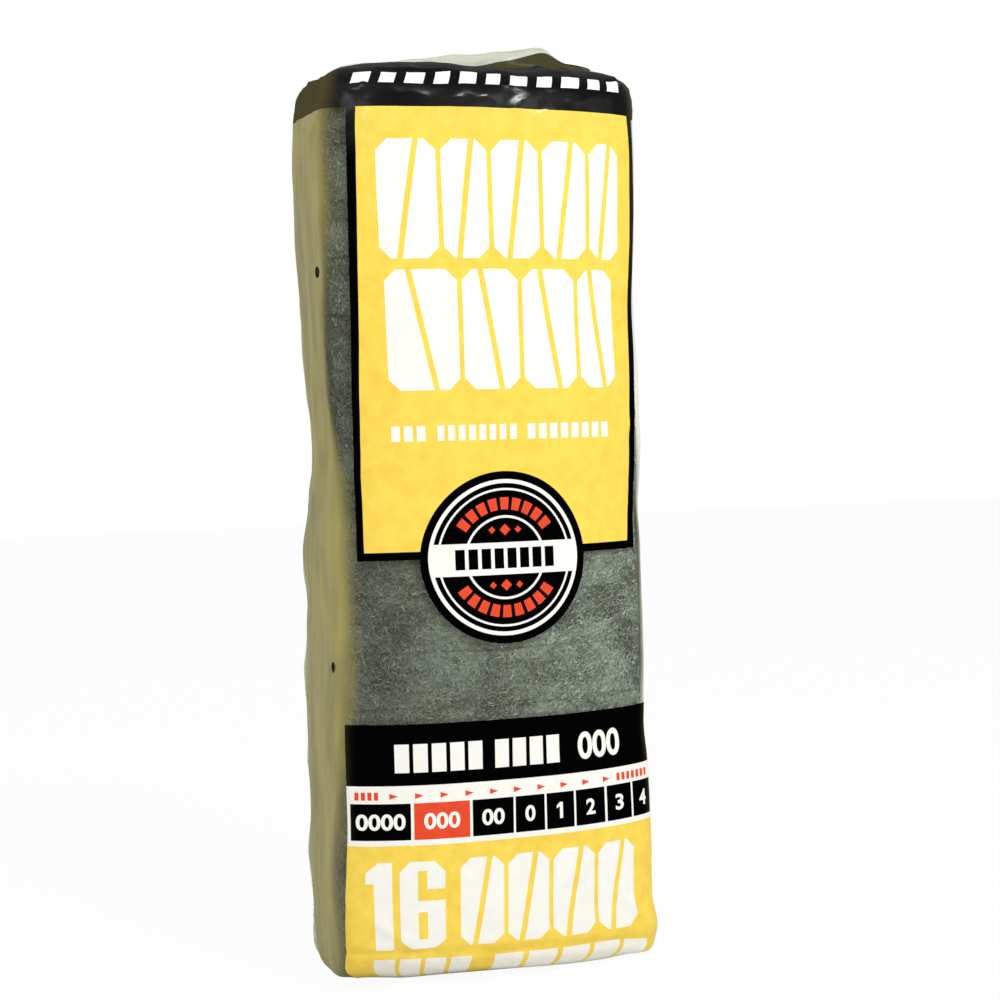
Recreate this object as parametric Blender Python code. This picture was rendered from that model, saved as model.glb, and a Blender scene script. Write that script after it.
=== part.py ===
"""A sealed, clear film bag holding a column of sixteen steel wool pads.

The bag stands upright on its tucked bottom, with its printed front towards -Y.
The film is one closed skin: a bulging front, two flat sides with a welded fin
along each back corner, a domed top closed by a sealed flap, and two vent holes
in the left side. The pads are lumpy soft slabs stacked inside, and each follows
the bag where it presses on the film. Units are metres and +Z is up.
"""

import math

import bmesh
import bpy
from mathutils import Matrix, Vector, noise

# Driving dimensions of the bag
HALF_WIDTH = 0.0544  # middle to each front corner
SIDE_DEPTH = 0.0445  # front corner to back corner
FRONT_Y = -0.0193  # plane of the two front corners
MIDDLE_Y = FRONT_Y + 0.5 * SIDE_DEPTH
FRONT_BULGE = 0.012  # how far the middle of the front stands out from that plane
BACK_BULGE = 0.0045
SIDE_BULGE = 0.0008
BULGE_POWER = 2.5
SHOULDER = 0.2895  # where the straight sides end and the domed top begins
DOME = 0.015  # height of the domed top
DOME_POWER = 2.4
RIDGE_Y = 0.0027  # where the front and back films meet on top
RIDGE_HALF = 0.0008  # half the thickness of the gathered film along the ridge
LEFT_EAR_DROP = 0.0135  # how much lower the two ends of the ridge are
RIGHT_EAR_DROP = 0.0080
EAR_POWER = 9.0
RIDGE_TAPER = 0.03  # how much shorter the ridge is than the bag is wide
FILM = 0.0001

# The tucked bottom
BASE_ROUND = 0.0065  # height of the rounded bottom edge
BASE_INSET = 0.0046  # how far the rounding draws that edge in
FRONT_TUCK = 0.0065
FRONT_TUCK_HEIGHT = 0.016
FRONT_LIFT = 0.0040  # how far the left of the front edge hangs clear of the floor
FRONT_LIFT_HEIGHT = 0.030
LIFT_LEFT_X = -0.045
LIFT_RIGHT_X = 0.045
BASE_MARGIN = 0.0012  # from the rounded edge to the flat that the bag stands on
BACK_TUCK = 0.006
BACK_TUCK_HEIGHT = 0.014

# The sealed flap that stands on the ridge
FLAP_HALF = 0.0003
FLAP_LEAN = 0.25
FLAP_LEVELS = (0.12, 1.0)
FLAP_STATIONS = (
    (-0.050, 0.0008),
    (-0.030, 0.0010),
    (-0.016, 0.0031),
    (0.001, 0.0054),
    (0.016, 0.0071),
    (0.029, 0.0087),
    (0.038, 0.0040),
    (0.052, 0.0044),
)

# Welded fins along the two back corners
FIN_WIDTH = 0.0017
FIN_HALF = 0.00025
FIN_SPLAY = 0.45  # how far back a fin points for each step sideways
FIN_EXTRA = 3  # points that a fin adds to a ring
FIN_WAVE = 0.0005
FIN_WAVE_LENGTH = 0.031

# Where the film is drawn in or pushed out: height, spread up and down, amount
DEPTH_CHANGES = (
    (0.178, 0.024, -0.0075),
    (0.222, 0.018, -0.0012),
    (0.142, 0.010, 0.0034),
    (0.128, 0.007, -0.0020),
    (0.096, 0.020, 0.0028),
    (0.036, 0.018, 0.0018),
)
LEFT_CHANGES = (
    (0.302, 0.014, -0.0022),
    (0.178, 0.022, -0.0014),
    (0.270, 0.035, 0.0014),
    (0.142, 0.010, 0.0006),
    (0.085, 0.026, 0.0006),
    (0.036, 0.018, 0.0006),
)
RIGHT_CHANGES = (
    (0.280, 0.030, 0.0012),
    (0.221, 0.018, -0.0008),
    (0.190, 0.025, 0.0006),
    (0.156, 0.010, -0.0009),
    (0.079, 0.007, -0.0006),
    (0.040, 0.028, 0.0013),
    (0.010, 0.009, 0.0028),
)
BULGE_CHANGES = (
    (0.300, 0.060, -0.0028),
    (0.000, 0.030, -0.0026),
    (0.100, 0.040, 0.0010),
)

# How square the plan of the bag is, near the floor and near the shoulder
SQUARE_LOW = 16.0
SQUARE_HIGH = 9.0

# Vent holes in the left side: distance back from the front corner, height
VENTS = ((0.0105, 0.2347), (0.0057, 0.1060))
VENT_RADIUS = 0.0020
VENT_SIDES = 12
VENT_CUT = 0.010

# The wool pads
PAD_COUNT = 16
PAD_PITCH = 0.0183
PAD_GAP = 0.0004
PAD_START = 0.0010
PAD_CLEARANCE = 0.0010
PAD_EDGE = 0.0015
PAD_PROFILE = (  # share of the height, share of the rounding
    (0.0, 1.0),
    (0.08, 0.25),
    (0.24, 0.0),
    (0.41, 0.0),
    (0.59, 0.0),
    (0.76, 0.0),
    (0.92, 0.25),
    (1.0, 1.0),
)
PAD_LUMP = 0.0009  # the deepest hollow in a pad's matted side
PAD_LUMP_SIZE = (0.028, 0.028, 0.013)

# How finely the pieces are divided
FACE_STEPS = 8  # half of the front or back
SIDE_STEPS = 4  # half of a side
PAD_FACE_STEPS = 7
PAD_SIDE_STEPS = 3
BODY_LEVELS = 34
DOME_LEVELS = 6
BASE_LEVELS = (0.0, 0.0006, 0.002, 0.004)


def changes_at(z, changes):
    """Sum of the smooth dents and swells of a list at one height."""
    return sum(amount * math.exp(-(((z - height) / spread) ** 2)) for height, spread, amount in changes)


def tuck(z, amount, height):
    """How far a face is drawn in at one height, growing towards the floor."""
    return amount * max(1.0 - z / height, 0.0) ** 2


def side_depth(z):
    """Distance from front corner to back corner, tucked in near the floor."""
    return SIDE_DEPTH + changes_at(z, DEPTH_CHANGES) - tuck(z, BACK_TUCK, BACK_TUCK_HEIGHT)


def squareness(z):
    share = min(max(z / SHOULDER, 0.0), 1.0)
    return SQUARE_LOW + (SQUARE_HIGH - SQUARE_LOW) * share


def dome_share(z):
    """1 below the shoulder, falling to 0 at the ridge."""
    if z <= SHOULDER:
        return 1.0
    rise = min((z - SHOULDER) / DOME, 1.0)
    return (1.0 - rise**DOME_POWER) ** (1.0 / DOME_POWER)


def tuck_inset(z):
    """How far the bottom edge is rounded in at one height."""
    if z >= BASE_ROUND:
        return 0.0
    return BASE_INSET * (1.0 - math.sqrt(1.0 - (1.0 - z / BASE_ROUND) ** 2))


def ring_directions(face_steps, side_steps):
    """Directions round a square, anticlockwise from the left front corner, closer near corners."""
    def spaced(steps):
        return [math.sin(0.5 * math.pi * i / steps) for i in range(-steps, steps)]

    front = [(t, -1.0) for t in spaced(face_steps)]
    right = [(1.0, t) for t in spaced(side_steps)]
    back = [(-t, 1.0) for t in spaced(face_steps)]
    left = [(-1.0, -t) for t in spaced(side_steps)]
    return front + right + back + left


def plan_point(direction, z):
    """Point of the bag's outline at one height, seen from above."""
    power = squareness(z)
    across, along = direction
    reach = (abs(across) ** power + abs(along) ** power) ** (-1.0 / power)
    u = across * reach
    v = along * reach
    half = HALF_WIDTH + changes_at(z, RIGHT_CHANGES if u > 0.0 else LEFT_CHANGES)
    x = u * (half + SIDE_BULGE * (1.0 - v * v))
    drawn_in = tuck(z, FRONT_TUCK, FRONT_TUCK_HEIGHT)
    y = FRONT_Y + drawn_in + 0.5 * (v + 1.0) * (side_depth(z) - drawn_in)
    crown = 1.0 - abs(u) ** BULGE_POWER
    y -= (FRONT_BULGE + changes_at(z, BULGE_CHANGES)) * crown * 0.5 * (1.0 - v)
    y += BACK_BULGE * crown * 0.5 * (1.0 + v)
    return Vector((x, y))


def inset_ring(points, amounts):
    """The same ring moved inwards along its own normals, each point by its own small amount."""
    moved = []
    for i, (point, amount) in enumerate(zip(points, amounts)):
        along = (points[(i + 1) % len(points)] - points[i - 1]).normalized()
        moved.append(point + Vector((-along.y, along.x)) * amount)
    return moved


def bag_plan(z, shrink, face_steps, side_steps):
    """The bag's outline at one height, drawn in by a margin and closed up above the shoulder."""
    half_depth = 0.5 * side_depth(z)
    middle = FRONT_Y + half_depth
    share = dome_share(z)
    closed = max(share, RIDGE_HALF / half_depth)
    plan = []
    for direction in ring_directions(face_steps, side_steps):
        point = plan_point(direction, z)
        x = point.x * (1.0 - shrink / HALF_WIDTH) * (1.0 - RIDGE_TAPER * (1.0 - share))
        y = middle + (point.y - middle) * (1.0 - shrink / half_depth)
        plan.append(Vector((x, RIDGE_Y + (y - RIDGE_Y) * closed)))
    return plan


def ear_drop(x, z):
    """How far the dome hangs down towards the two ends of its ridge."""
    drop = LEFT_EAR_DROP if x < 0.0 else RIGHT_EAR_DROP
    return drop * (1.0 - dome_share(z)) * min(abs(x) / HALF_WIDTH, 1.0) ** EAR_POWER


def front_lift(point, z):
    """How far a point near the floor is raised, most at the left of the front edge."""
    front = min(max((MIDDLE_Y - point.y) / (0.25 * SIDE_DEPTH) - 1.0, 0.0), 1.0)
    right = min(max((point.x - LIFT_LEFT_X) / (LIFT_RIGHT_X - LIFT_LEFT_X), 0.0), 1.0)
    left = 1.0 - right * right * (3.0 - 2.0 * right)
    return front * left * tuck(z, FRONT_LIFT, FRONT_LIFT_HEIGHT)


def placed(point, z):
    """A point of the plan put at its own height."""
    return Vector((point.x, point.y, z - ear_drop(point.x, z) + front_lift(point, z)))


def outer_ring(z):
    """One level of the film's outside, with its fins."""
    plan = bag_plan(z, tuck_inset(z), FACE_STEPS, SIDE_STEPS)
    return with_fins([placed(p, z) for p in plan], z)


def base_ring(height):
    """The edge of the flat that the bag stands on."""
    plan = bag_plan(0.0, tuck_inset(0.0) + BASE_MARGIN, FACE_STEPS, SIDE_STEPS)
    return [Vector((p.x, p.y, height)) for p in plan]


def inner_ring(z):
    """The same level of the film's inside, one thickness in from the outside."""
    plan = bag_plan(z, tuck_inset(z), FACE_STEPS, SIDE_STEPS)
    plan = inset_ring(plan, [FILM] * len(plan))
    lowered = FILM * (1.0 - dome_share(z))
    raised = FILM * max(1.0 - z / BASE_ROUND, 0.0)
    return [placed(p, z) + Vector((0.0, 0.0, raised - lowered)) for p in plan]


def flap_height(x):
    """Height of the sealed flap above the ridge, smooth between its stations."""
    for (x0, h0), (x1, h1) in zip(FLAP_STATIONS, FLAP_STATIONS[1:]):
        if x <= x1:
            t = max((x - x0) / (x1 - x0), 0.0)
            return h0 + (h1 - h0) * t * t * (3.0 - 2.0 * t)
    return FLAP_STATIONS[-1][1]


def flap_ring(ridge, share):
    """A level of the flap: the ridge's points brought together, raised and leaned back."""
    ring = []
    for point in ridge:
        side = math.copysign(min(abs(point.y - RIDGE_Y), FLAP_HALF), point.y - RIDGE_Y)
        rise = flap_height(point.x) * share
        ring.append(Vector((point.x, RIDGE_Y + side + FLAP_LEAN * rise, point.z + rise)))
    return ring


def back_corners():
    """Positions of the right and left back corners in a ring without fins."""
    right = 2 * FACE_STEPS + 2 * SIDE_STEPS
    return right, right + 2 * FACE_STEPS


def with_fins(ring, z):
    """The ring with each back corner drawn out into a thin welded fin."""
    share = max(dome_share(z), 0.1)
    low = min(1.0, 0.35 + z / BASE_ROUND)
    width = (FIN_WIDTH + FIN_WAVE * math.sin(2.0 * math.pi * z / FIN_WAVE_LENGTH)) * share * low
    right, left = back_corners()
    out = []
    for i, point in enumerate(ring):
        if i not in (right, left):
            out.append(point)
            continue
        sideways = 1.0 if i == right else -1.0
        outward = Vector((sideways, FIN_SPLAY, 0.0)).normalized()
        across = Vector((-outward.y, outward.x, 0.0)) * FIN_HALF * share
        tip = point + outward * width
        out.extend((point - across, tip - across, tip + across, point + across))
    return out


def slots(i):
    """Where a point of the plain ring lies in the ring with fins: one place, or four at a fin."""
    right, left = back_corners()
    first = i + FIN_EXTRA * ((i > right) + (i > left))
    return [first + k for k in range(FIN_EXTRA + 1)] if i in (right, left) else [first]


def closing_faces(finned):
    """Corner positions of the faces that close a thin ring across its thickness."""
    count = 4 * (FACE_STEPS + SIDE_STEPS)
    left_middle = 4 * FACE_STEPS + 3 * SIDE_STEPS
    place = slots if finned else (lambda i: [i])
    faces = []
    for k in range(count // 2):
        a, c = (left_middle + k) % count, (left_middle + k + 1) % count
        b, d = (left_middle - k) % count, (left_middle - k - 1) % count
        corners = [place(a)[0], place(c)[0], *place(d), place(b)[0]]
        faces.append(list(dict.fromkeys(corners)))
    return faces


def add_skin(bm, rings, top_faces, inside):
    """Walls between the rings, a flat bottom, and a top closed across its thickness."""
    loops = [[bm.verts.new(point) for point in ring] for ring in rings]
    faces = [bm.faces.new(list(reversed(loops[0])))]
    for low, high in zip(loops, loops[1:]):
        for i in range(len(low)):
            j = (i + 1) % len(low)
            faces.append(bm.faces.new((low[i], low[j], high[j], high[i])))
    for corners in top_faces:
        faces.append(bm.faces.new([loops[-1][i] for i in corners]))
    if inside:
        bmesh.ops.reverse_faces(bm, faces=faces)


def film_heights():
    """Heights of the bag's levels, from the floor to the ridge."""
    body = [BASE_ROUND + (SHOULDER - BASE_ROUND) * i / BODY_LEVELS for i in range(BODY_LEVELS + 1)]
    dome = [SHOULDER + DOME * math.sin(0.5 * math.pi * i / DOME_LEVELS) for i in range(1, DOME_LEVELS + 1)]
    return [*BASE_LEVELS, *body, *dome]


def build_bag():
    """The film skin: outside and inside walls joined at the vent holes."""
    heights = film_heights()
    outer = [with_fins(base_ring(0.0), 0.0), *(outer_ring(z) for z in heights)]
    outer += [flap_ring(outer[-1], share) for share in FLAP_LEVELS]
    inner = [base_ring(FILM), *(inner_ring(z) for z in heights)]
    bm = bmesh.new()
    add_skin(bm, outer, closing_faces(finned=True), inside=False)
    add_skin(bm, inner, closing_faces(finned=False), inside=True)
    bmesh.ops.triangulate(bm, faces=[f for f in bm.faces if len(f.verts) > 4])
    film = make_material("clear_film", (0.62, 0.58, 0.42), 0.18, 0.0, alpha=0.30)
    bag = make_object("film_bag", bm, film)
    across = Matrix.Rotation(math.radians(90.0), 4, "Y")
    for number, (back, height) in enumerate(VENTS, 1):
        bm = bmesh.new()
        bmesh.ops.create_cone(
            bm,
            cap_ends=True,
            segments=VENT_SIDES,
            radius1=VENT_RADIUS,
            radius2=VENT_RADIUS,
            depth=VENT_CUT,
            matrix=Matrix.Translation((-HALF_WIDTH, FRONT_Y + back, height)) @ across,
        )
        cutter = make_object(f"vent_cutter_{number}", bm, film)
        cutter.hide_render = True
        cutter.display_type = "WIRE"
        cut = bag.modifiers.new(f"vent_{number}", "BOOLEAN")
        cut.operation = "DIFFERENCE"
        cut.solver = "EXACT"
        cut.object = cutter
    return bag


def pad_hollow(point, z):
    """How far a point of a pad's side sinks in, between the swells of its matted wool."""
    place = [value / size for value, size in zip((point.x, point.y, z), PAD_LUMP_SIZE)]
    return PAD_LUMP * min(max(0.5 + noise.noise(place), 0.0), 1.0)


def build_pad(number, wool):
    """One wool pad: a lumpy slab with softly rounded edges that fills the bag's outline."""
    bottom = PAD_START + PAD_PITCH * (number - 1)
    thickness = PAD_PITCH - PAD_GAP
    rings = []
    for share, round_in in PAD_PROFILE:
        z = bottom + thickness * share
        margin = PAD_CLEARANCE + PAD_EDGE * round_in + tuck_inset(z)
        plan = bag_plan(z, margin, PAD_FACE_STEPS, PAD_SIDE_STEPS)
        plan = inset_ring(plan, [pad_hollow(p, z) for p in plan])
        rings.append([Vector((p.x, p.y, z + front_lift(p, z))) for p in plan])
    bm = bmesh.new()
    loops = [[bm.verts.new(point) for point in ring] for ring in rings]
    for low, high in zip(loops, loops[1:]):
        for i in range(len(low)):
            j = (i + 1) % len(low)
            bm.faces.new((low[i], low[j], high[j], high[i]))
    bm.faces.new(list(reversed(loops[0])))
    bm.faces.new(loops[-1])
    return make_object(f"pad_{number:02d}", bm, wool)


def make_material(name, colour, roughness, metallic, alpha=1.0):
    material = bpy.data.materials.new(name)
    material.use_nodes = True
    shader = material.node_tree.nodes["Principled BSDF"]
    shader.inputs["Base Color"].default_value = (*colour, 1.0)
    shader.inputs["Roughness"].default_value = roughness
    shader.inputs["Metallic"].default_value = metallic
    shader.inputs["Alpha"].default_value = alpha
    material.diffuse_color = (*colour, alpha)
    return material


def make_object(name, bm, material):
    mesh = bpy.data.meshes.new(name)
    bm.to_mesh(mesh)
    bm.free()
    mesh.materials.append(material)
    mesh.shade_smooth()
    mesh.set_sharp_from_angle(angle=math.radians(40.0))
    piece = bpy.data.objects.new(name, mesh)
    bpy.context.scene.collection.objects.link(piece)
    return piece


def main():
    for old in list(bpy.data.objects):
        bpy.data.objects.remove(old, do_unlink=True)
    build_bag()
    wool = make_material("steel_wool", (0.16, 0.17, 0.155), 0.55, 0.8)
    for number in range(1, PAD_COUNT + 1):
        build_pad(number, wool)


main()
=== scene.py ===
"""Looks of a sealed pack of steel wool pads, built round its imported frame.

The pack's film is one sheet wrapped round a column of pads. Its print is laid out flat,
in sheet coordinates: s runs along the film from the middle of the front, to the right of
someone facing it, and h runs up the film. BagForm says where each point of the sheet lies.
Units are metres and +Z is up.
"""

import logging
import math
from collections.abc import Iterable, Sequence
from dataclasses import dataclass, field
from enum import Enum

import bpy
import numpy as np
from bpy.types import ID, Material, Mesh, Node, NodeSocket, NodeTree, Object
from mathutils import Matrix, Vector, kdtree, noise
from mathutils.geometry import delaunay_2d_cdt


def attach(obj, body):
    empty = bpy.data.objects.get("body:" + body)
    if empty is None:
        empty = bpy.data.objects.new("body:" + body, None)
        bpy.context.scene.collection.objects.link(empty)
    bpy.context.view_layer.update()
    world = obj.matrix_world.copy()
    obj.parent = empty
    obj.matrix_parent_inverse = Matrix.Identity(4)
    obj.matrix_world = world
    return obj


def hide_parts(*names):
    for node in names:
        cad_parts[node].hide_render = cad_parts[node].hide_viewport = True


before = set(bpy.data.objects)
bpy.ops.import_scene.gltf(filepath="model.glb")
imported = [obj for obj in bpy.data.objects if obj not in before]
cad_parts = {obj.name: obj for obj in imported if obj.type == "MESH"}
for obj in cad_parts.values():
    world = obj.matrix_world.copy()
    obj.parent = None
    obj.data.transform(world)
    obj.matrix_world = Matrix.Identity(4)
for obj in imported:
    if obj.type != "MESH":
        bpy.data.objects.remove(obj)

log = logging.getLogger("steel_wool_pack")

BODY = "root"

Pair = tuple[float, float]
Triple = tuple[float, float, float]
Rows = tuple[tuple[float, ...], ...]
Loop = list[Pair]
Stations = tuple[Pair, ...]
Changes = tuple[Triple, ...]
Sockets = bpy.types.bpy_prop_collection
Values = dict[str | int, object]


def swells(z: np.ndarray, changes: Changes) -> np.ndarray:
    """Sum of smooth dents and swells.

    Args:
        z: Heights.
        changes: Height, spread up and down, and amount of each dent or swell.

    Returns:
        The amount at each height.
    """
    total = np.zeros_like(z)
    for height, spread, amount in changes:
        total += amount * np.exp(-(((z - height) / spread) ** 2))
    return total


def tuck(z: np.ndarray, amount: float, height: float) -> np.ndarray:
    """How far a face is drawn in, from nothing at a height to an amount at the floor."""
    return amount * np.maximum(1.0 - z / height, 0.0) ** 2


def smooth(x: np.ndarray, low: float, high: float) -> np.ndarray:
    """A smooth step from 0 at low to 1 at high."""
    t = np.clip((x - low) / (high - low), 0.0, 1.0)
    return t * t * (3.0 - 2.0 * t)


@dataclass(frozen=True)
class BagForm:
    """Where each point of the film lies: the form of the bag's solid, drawn more finely."""

    half_width: float = 0.0544
    side_depth: float = 0.0445
    front_y: float = -0.0193
    front_bulge: float = 0.012
    back_bulge: float = 0.0045
    side_bulge: float = 0.0008
    bulge_power: float = 2.5
    square_low: float = 16.0
    square_high: float = 9.0
    shoulder: float = 0.2895
    dome: float = 0.015
    dome_power: float = 2.4
    dome_arc: float = 0.036
    ridge_y: float = 0.0027
    ridge_half: float = 0.0008
    ridge_taper: float = 0.03
    left_ear_drop: float = 0.0135
    right_ear_drop: float = 0.0080
    ear_power: float = 9.0
    base_round: float = 0.0065
    base_inset: float = 0.0046
    base_margin: float = 0.0012
    front_tuck: float = 0.0065
    front_tuck_height: float = 0.016
    front_lift: float = 0.0040
    front_lift_height: float = 0.030
    lift_x: Pair = (-0.045, 0.045)
    corner_lift: float = 0.0026
    corner_lift_height: float = 0.014
    corner_lift_x: Pair = (-0.052, -0.030)
    corner_lift_y: Pair = (-0.011, 0.003)
    toe: float = 0.0026
    toe_height: float = 0.0050
    toe_x: Pair = (0.038, 0.054)
    lift_fade: float = 0.25  # share of the side's depth over which the lift comes in
    under_lift: float = 0.80  # share of the lift that the flat underside takes
    back_tuck: float = 0.006
    back_tuck_height: float = 0.014
    flap_half: float = 0.0003
    flap_lean: float = 0.25
    flap_pinch: float = 0.12  # share of the flap's height over which its two walls meet
    flap_arc: float = 0.008
    flap_wave: float = 0.0011
    flap_wave_length: float = 0.034
    flap_stations: Stations = (
        (-0.050, 0.0008),
        (-0.030, 0.0010),
        (-0.016, 0.0031),
        (0.001, 0.0054),
        (0.016, 0.0071),
        (0.029, 0.0087),
        (0.038, 0.0040),
        (0.052, 0.0044),
    )
    depth_changes: Changes = (
        (0.178, 0.024, -0.0075),
        (0.222, 0.018, -0.0012),
        (0.142, 0.010, 0.0034),
        (0.128, 0.007, -0.0020),
        (0.096, 0.020, 0.0028),
        (0.036, 0.018, 0.0018),
    )
    left_changes: Changes = (
        (0.302, 0.014, -0.0022),
        (0.178, 0.022, -0.0014),
        (0.270, 0.035, 0.0014),
        (0.142, 0.010, 0.0006),
        (0.085, 0.026, 0.0006),
        (0.036, 0.018, 0.0006),
    )
    right_changes: Changes = (
        (0.280, 0.030, 0.0012),
        (0.221, 0.018, -0.0008),
        (0.190, 0.025, 0.0006),
        (0.156, 0.010, -0.0009),
        (0.079, 0.007, -0.0006),
        (0.040, 0.028, 0.0013),
        (0.010, 0.009, 0.0028),
    )
    bulge_changes: Changes = (
        (0.300, 0.060, -0.0028),
        (0.000, 0.030, -0.0026),
        (0.100, 0.040, 0.0010),
    )
    ruler_height: float = 0.150
    ruler_steps: int = 4000

    @property
    def under_h(self) -> float:
        """Sheet height where the rounded bottom edge meets the floor."""
        return self.base_round * (1.0 - 0.5 * math.pi)

    @property
    def ridge_h(self) -> float:
        """Sheet height of the ridge."""
        return self.shoulder + self.dome_arc

    @property
    def top_h(self) -> float:
        """Sheet height of the flap's top edge."""
        return self.ridge_h + self.flap_arc

    def depth_at(self, z: np.ndarray) -> np.ndarray:
        """Distance from front corner to back corner at each height."""
        tucked = tuck(z, self.back_tuck, self.back_tuck_height)
        return self.side_depth + swells(z, self.depth_changes) - tucked

    def dome_share(self, z: np.ndarray) -> np.ndarray:
        """1 below the shoulder, falling to 0 at the ridge."""
        rise = np.clip((z - self.shoulder) / self.dome, 0.0, 1.0)
        return (1.0 - rise**self.dome_power) ** (1.0 / self.dome_power)

    def plan(self, across: np.ndarray, along: np.ndarray, z: np.ndarray) -> tuple[np.ndarray, np.ndarray]:
        """The bag's full outline seen from above.

        Args:
            across: Direction on a square, -1 at the left to 1 at the right.
            along: Direction on the same square, -1 at the front to 1 at the back.
            z: Heights.

        Returns:
            x and y of each point.
        """
        share = np.clip(z / self.shoulder, 0.0, 1.0)
        power = self.square_low + (self.square_high - self.square_low) * share
        reach = (np.abs(across) ** power + np.abs(along) ** power) ** (-1.0 / power)
        u, v = across * reach, along * reach
        changes = np.where(u > 0.0, swells(z, self.right_changes), swells(z, self.left_changes))
        x = u * (self.half_width + changes + self.side_bulge * (1.0 - v * v))
        drawn_in = tuck(z, self.front_tuck, self.front_tuck_height)
        y = self.front_y + drawn_in + 0.5 * (v + 1.0) * (self.depth_at(z) - drawn_in)
        crown = 1.0 - np.abs(u) ** self.bulge_power
        y -= (self.front_bulge + swells(z, self.bulge_changes)) * crown * 0.5 * (1.0 - v)
        y += self.back_bulge * crown * 0.5 * (1.0 + v)
        return x, y

    def drawn_in_low(self, z: np.ndarray) -> np.ndarray:
        """How far the rounded bottom edge is drawn in at each height."""
        low = np.clip(1.0 - z / self.base_round, 0.0, 1.0)
        return self.base_inset * (1.0 - np.sqrt(1.0 - low**2))

    def half_ruler(self) -> tuple[np.ndarray, np.ndarray]:
        """Length along the film from the middle of the front, against turns round the square.

        Returns:
            Lengths, and turns: 0 mid front, 1 front corner, 3 back corner, 4 mid back.
        """
        turns = np.linspace(0.0, 4.0, self.ruler_steps)
        x, y = self.plan(*self.on_square(turns), np.full_like(turns, self.ruler_height))
        steps = np.hypot(np.diff(x), np.diff(y))
        return np.concatenate(([0.0], np.cumsum(steps))), turns

    @staticmethod
    def on_square(turns: np.ndarray) -> tuple[np.ndarray, np.ndarray]:
        """Directions on the right half of the square, from mid front to mid back.

        Args:
            turns: 0 mid front to 4 mid back.

        Returns:
            Across and along, as plan takes them.
        """
        across = np.where(turns < 1.0, turns, np.where(turns < 3.0, 1.0, 4.0 - turns))
        along = np.where(turns < 1.0, -1.0, np.where(turns < 3.0, turns - 2.0, 1.0))
        return across, along

    def half_length(self) -> float:
        """Half the length of film round the bag."""
        return float(self.half_ruler()[0][-1])

    def corner_s(self) -> float:
        """Sheet position of the right front corner."""
        lengths, turns = self.half_ruler()
        return float(np.interp(1.0, turns, lengths))

    def back_corner_s(self) -> float:
        """Sheet position of the right back corner."""
        lengths, turns = self.half_ruler()
        return float(np.interp(3.0, turns, lengths))

    def height_of(self, h: np.ndarray) -> np.ndarray:
        """Height of a sheet height, before the ends of the dome hang down.

        Args:
            h: Heights up the film.

        Returns:
            The height of each above the floor.
        """
        angle = np.clip((h - self.under_h) / self.base_round, 0.0, 0.5 * math.pi)
        rounded = self.base_round * (1.0 - np.cos(angle))
        over = np.clip((h - self.shoulder) / self.dome_arc, 0.0, 1.0)
        domed = self.shoulder + self.dome * np.sin(0.5 * math.pi * over)
        return np.where(h < self.base_round, rounded, np.where(h > self.shoulder, domed, h))

    def lift(self, x: np.ndarray, y: np.ndarray, z: np.ndarray) -> np.ndarray:
        """How far a point near the floor is raised, most at the left of the front edge.

        Args:
            x: Distances to the right.
            y: Distances back.
            z: Heights.

        Returns:
            The rise of each point.
        """
        middle = self.front_y + 0.5 * self.side_depth
        front = np.clip((middle - y) / (self.lift_fade * self.side_depth) - 1.0, 0.0, 1.0)
        edge = front * (1.0 - smooth(x, *self.lift_x)) * tuck(z, self.front_lift, self.front_lift_height)
        corner = (1.0 - smooth(x, *self.corner_lift_x)) * (1.0 - smooth(y, *self.corner_lift_y))
        return edge + corner * tuck(z, self.corner_lift, self.corner_lift_height)

    def toe_drop(self, x: np.ndarray, y: np.ndarray, z: np.ndarray) -> np.ndarray:
        """How far the film hangs down round the right end of the front edge.

        Args:
            x: Distances to the right.
            y: Distances back.
            z: Heights.

        Returns:
            The drop of each point.
        """
        near = z / self.toe_height
        right = smooth(x, *self.toe_x) * (1.0 - smooth(y, *self.corner_lift_y))
        return self.toe * right * (near * np.exp(1.0 - near)) ** 2

    def outline(
        self, across: np.ndarray, along: np.ndarray, z: np.ndarray, inset: np.ndarray
    ) -> tuple[np.ndarray, np.ndarray]:
        """The outline drawn in by an inset, and closed towards the ridge above the shoulder.

        Args:
            across: Direction on a square, -1 at the left to 1 at the right.
            along: Direction on the same square, -1 at the front to 1 at the back.
            z: Heights.
            inset: How far each point is drawn in.

        Returns:
            x and y of each point.
        """
        half_depth = 0.5 * self.depth_at(z)
        middle = self.front_y + half_depth
        share = self.dome_share(z)
        x, y = self.plan(across, along, z)
        x = x * (1.0 - inset / self.half_width) * (1.0 - self.ridge_taper * (1.0 - share))
        y = middle + (y - middle) * (1.0 - inset / half_depth)
        closed = np.maximum(share, self.ridge_half / half_depth)
        return x, self.ridge_y + (y - self.ridge_y) * closed

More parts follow.
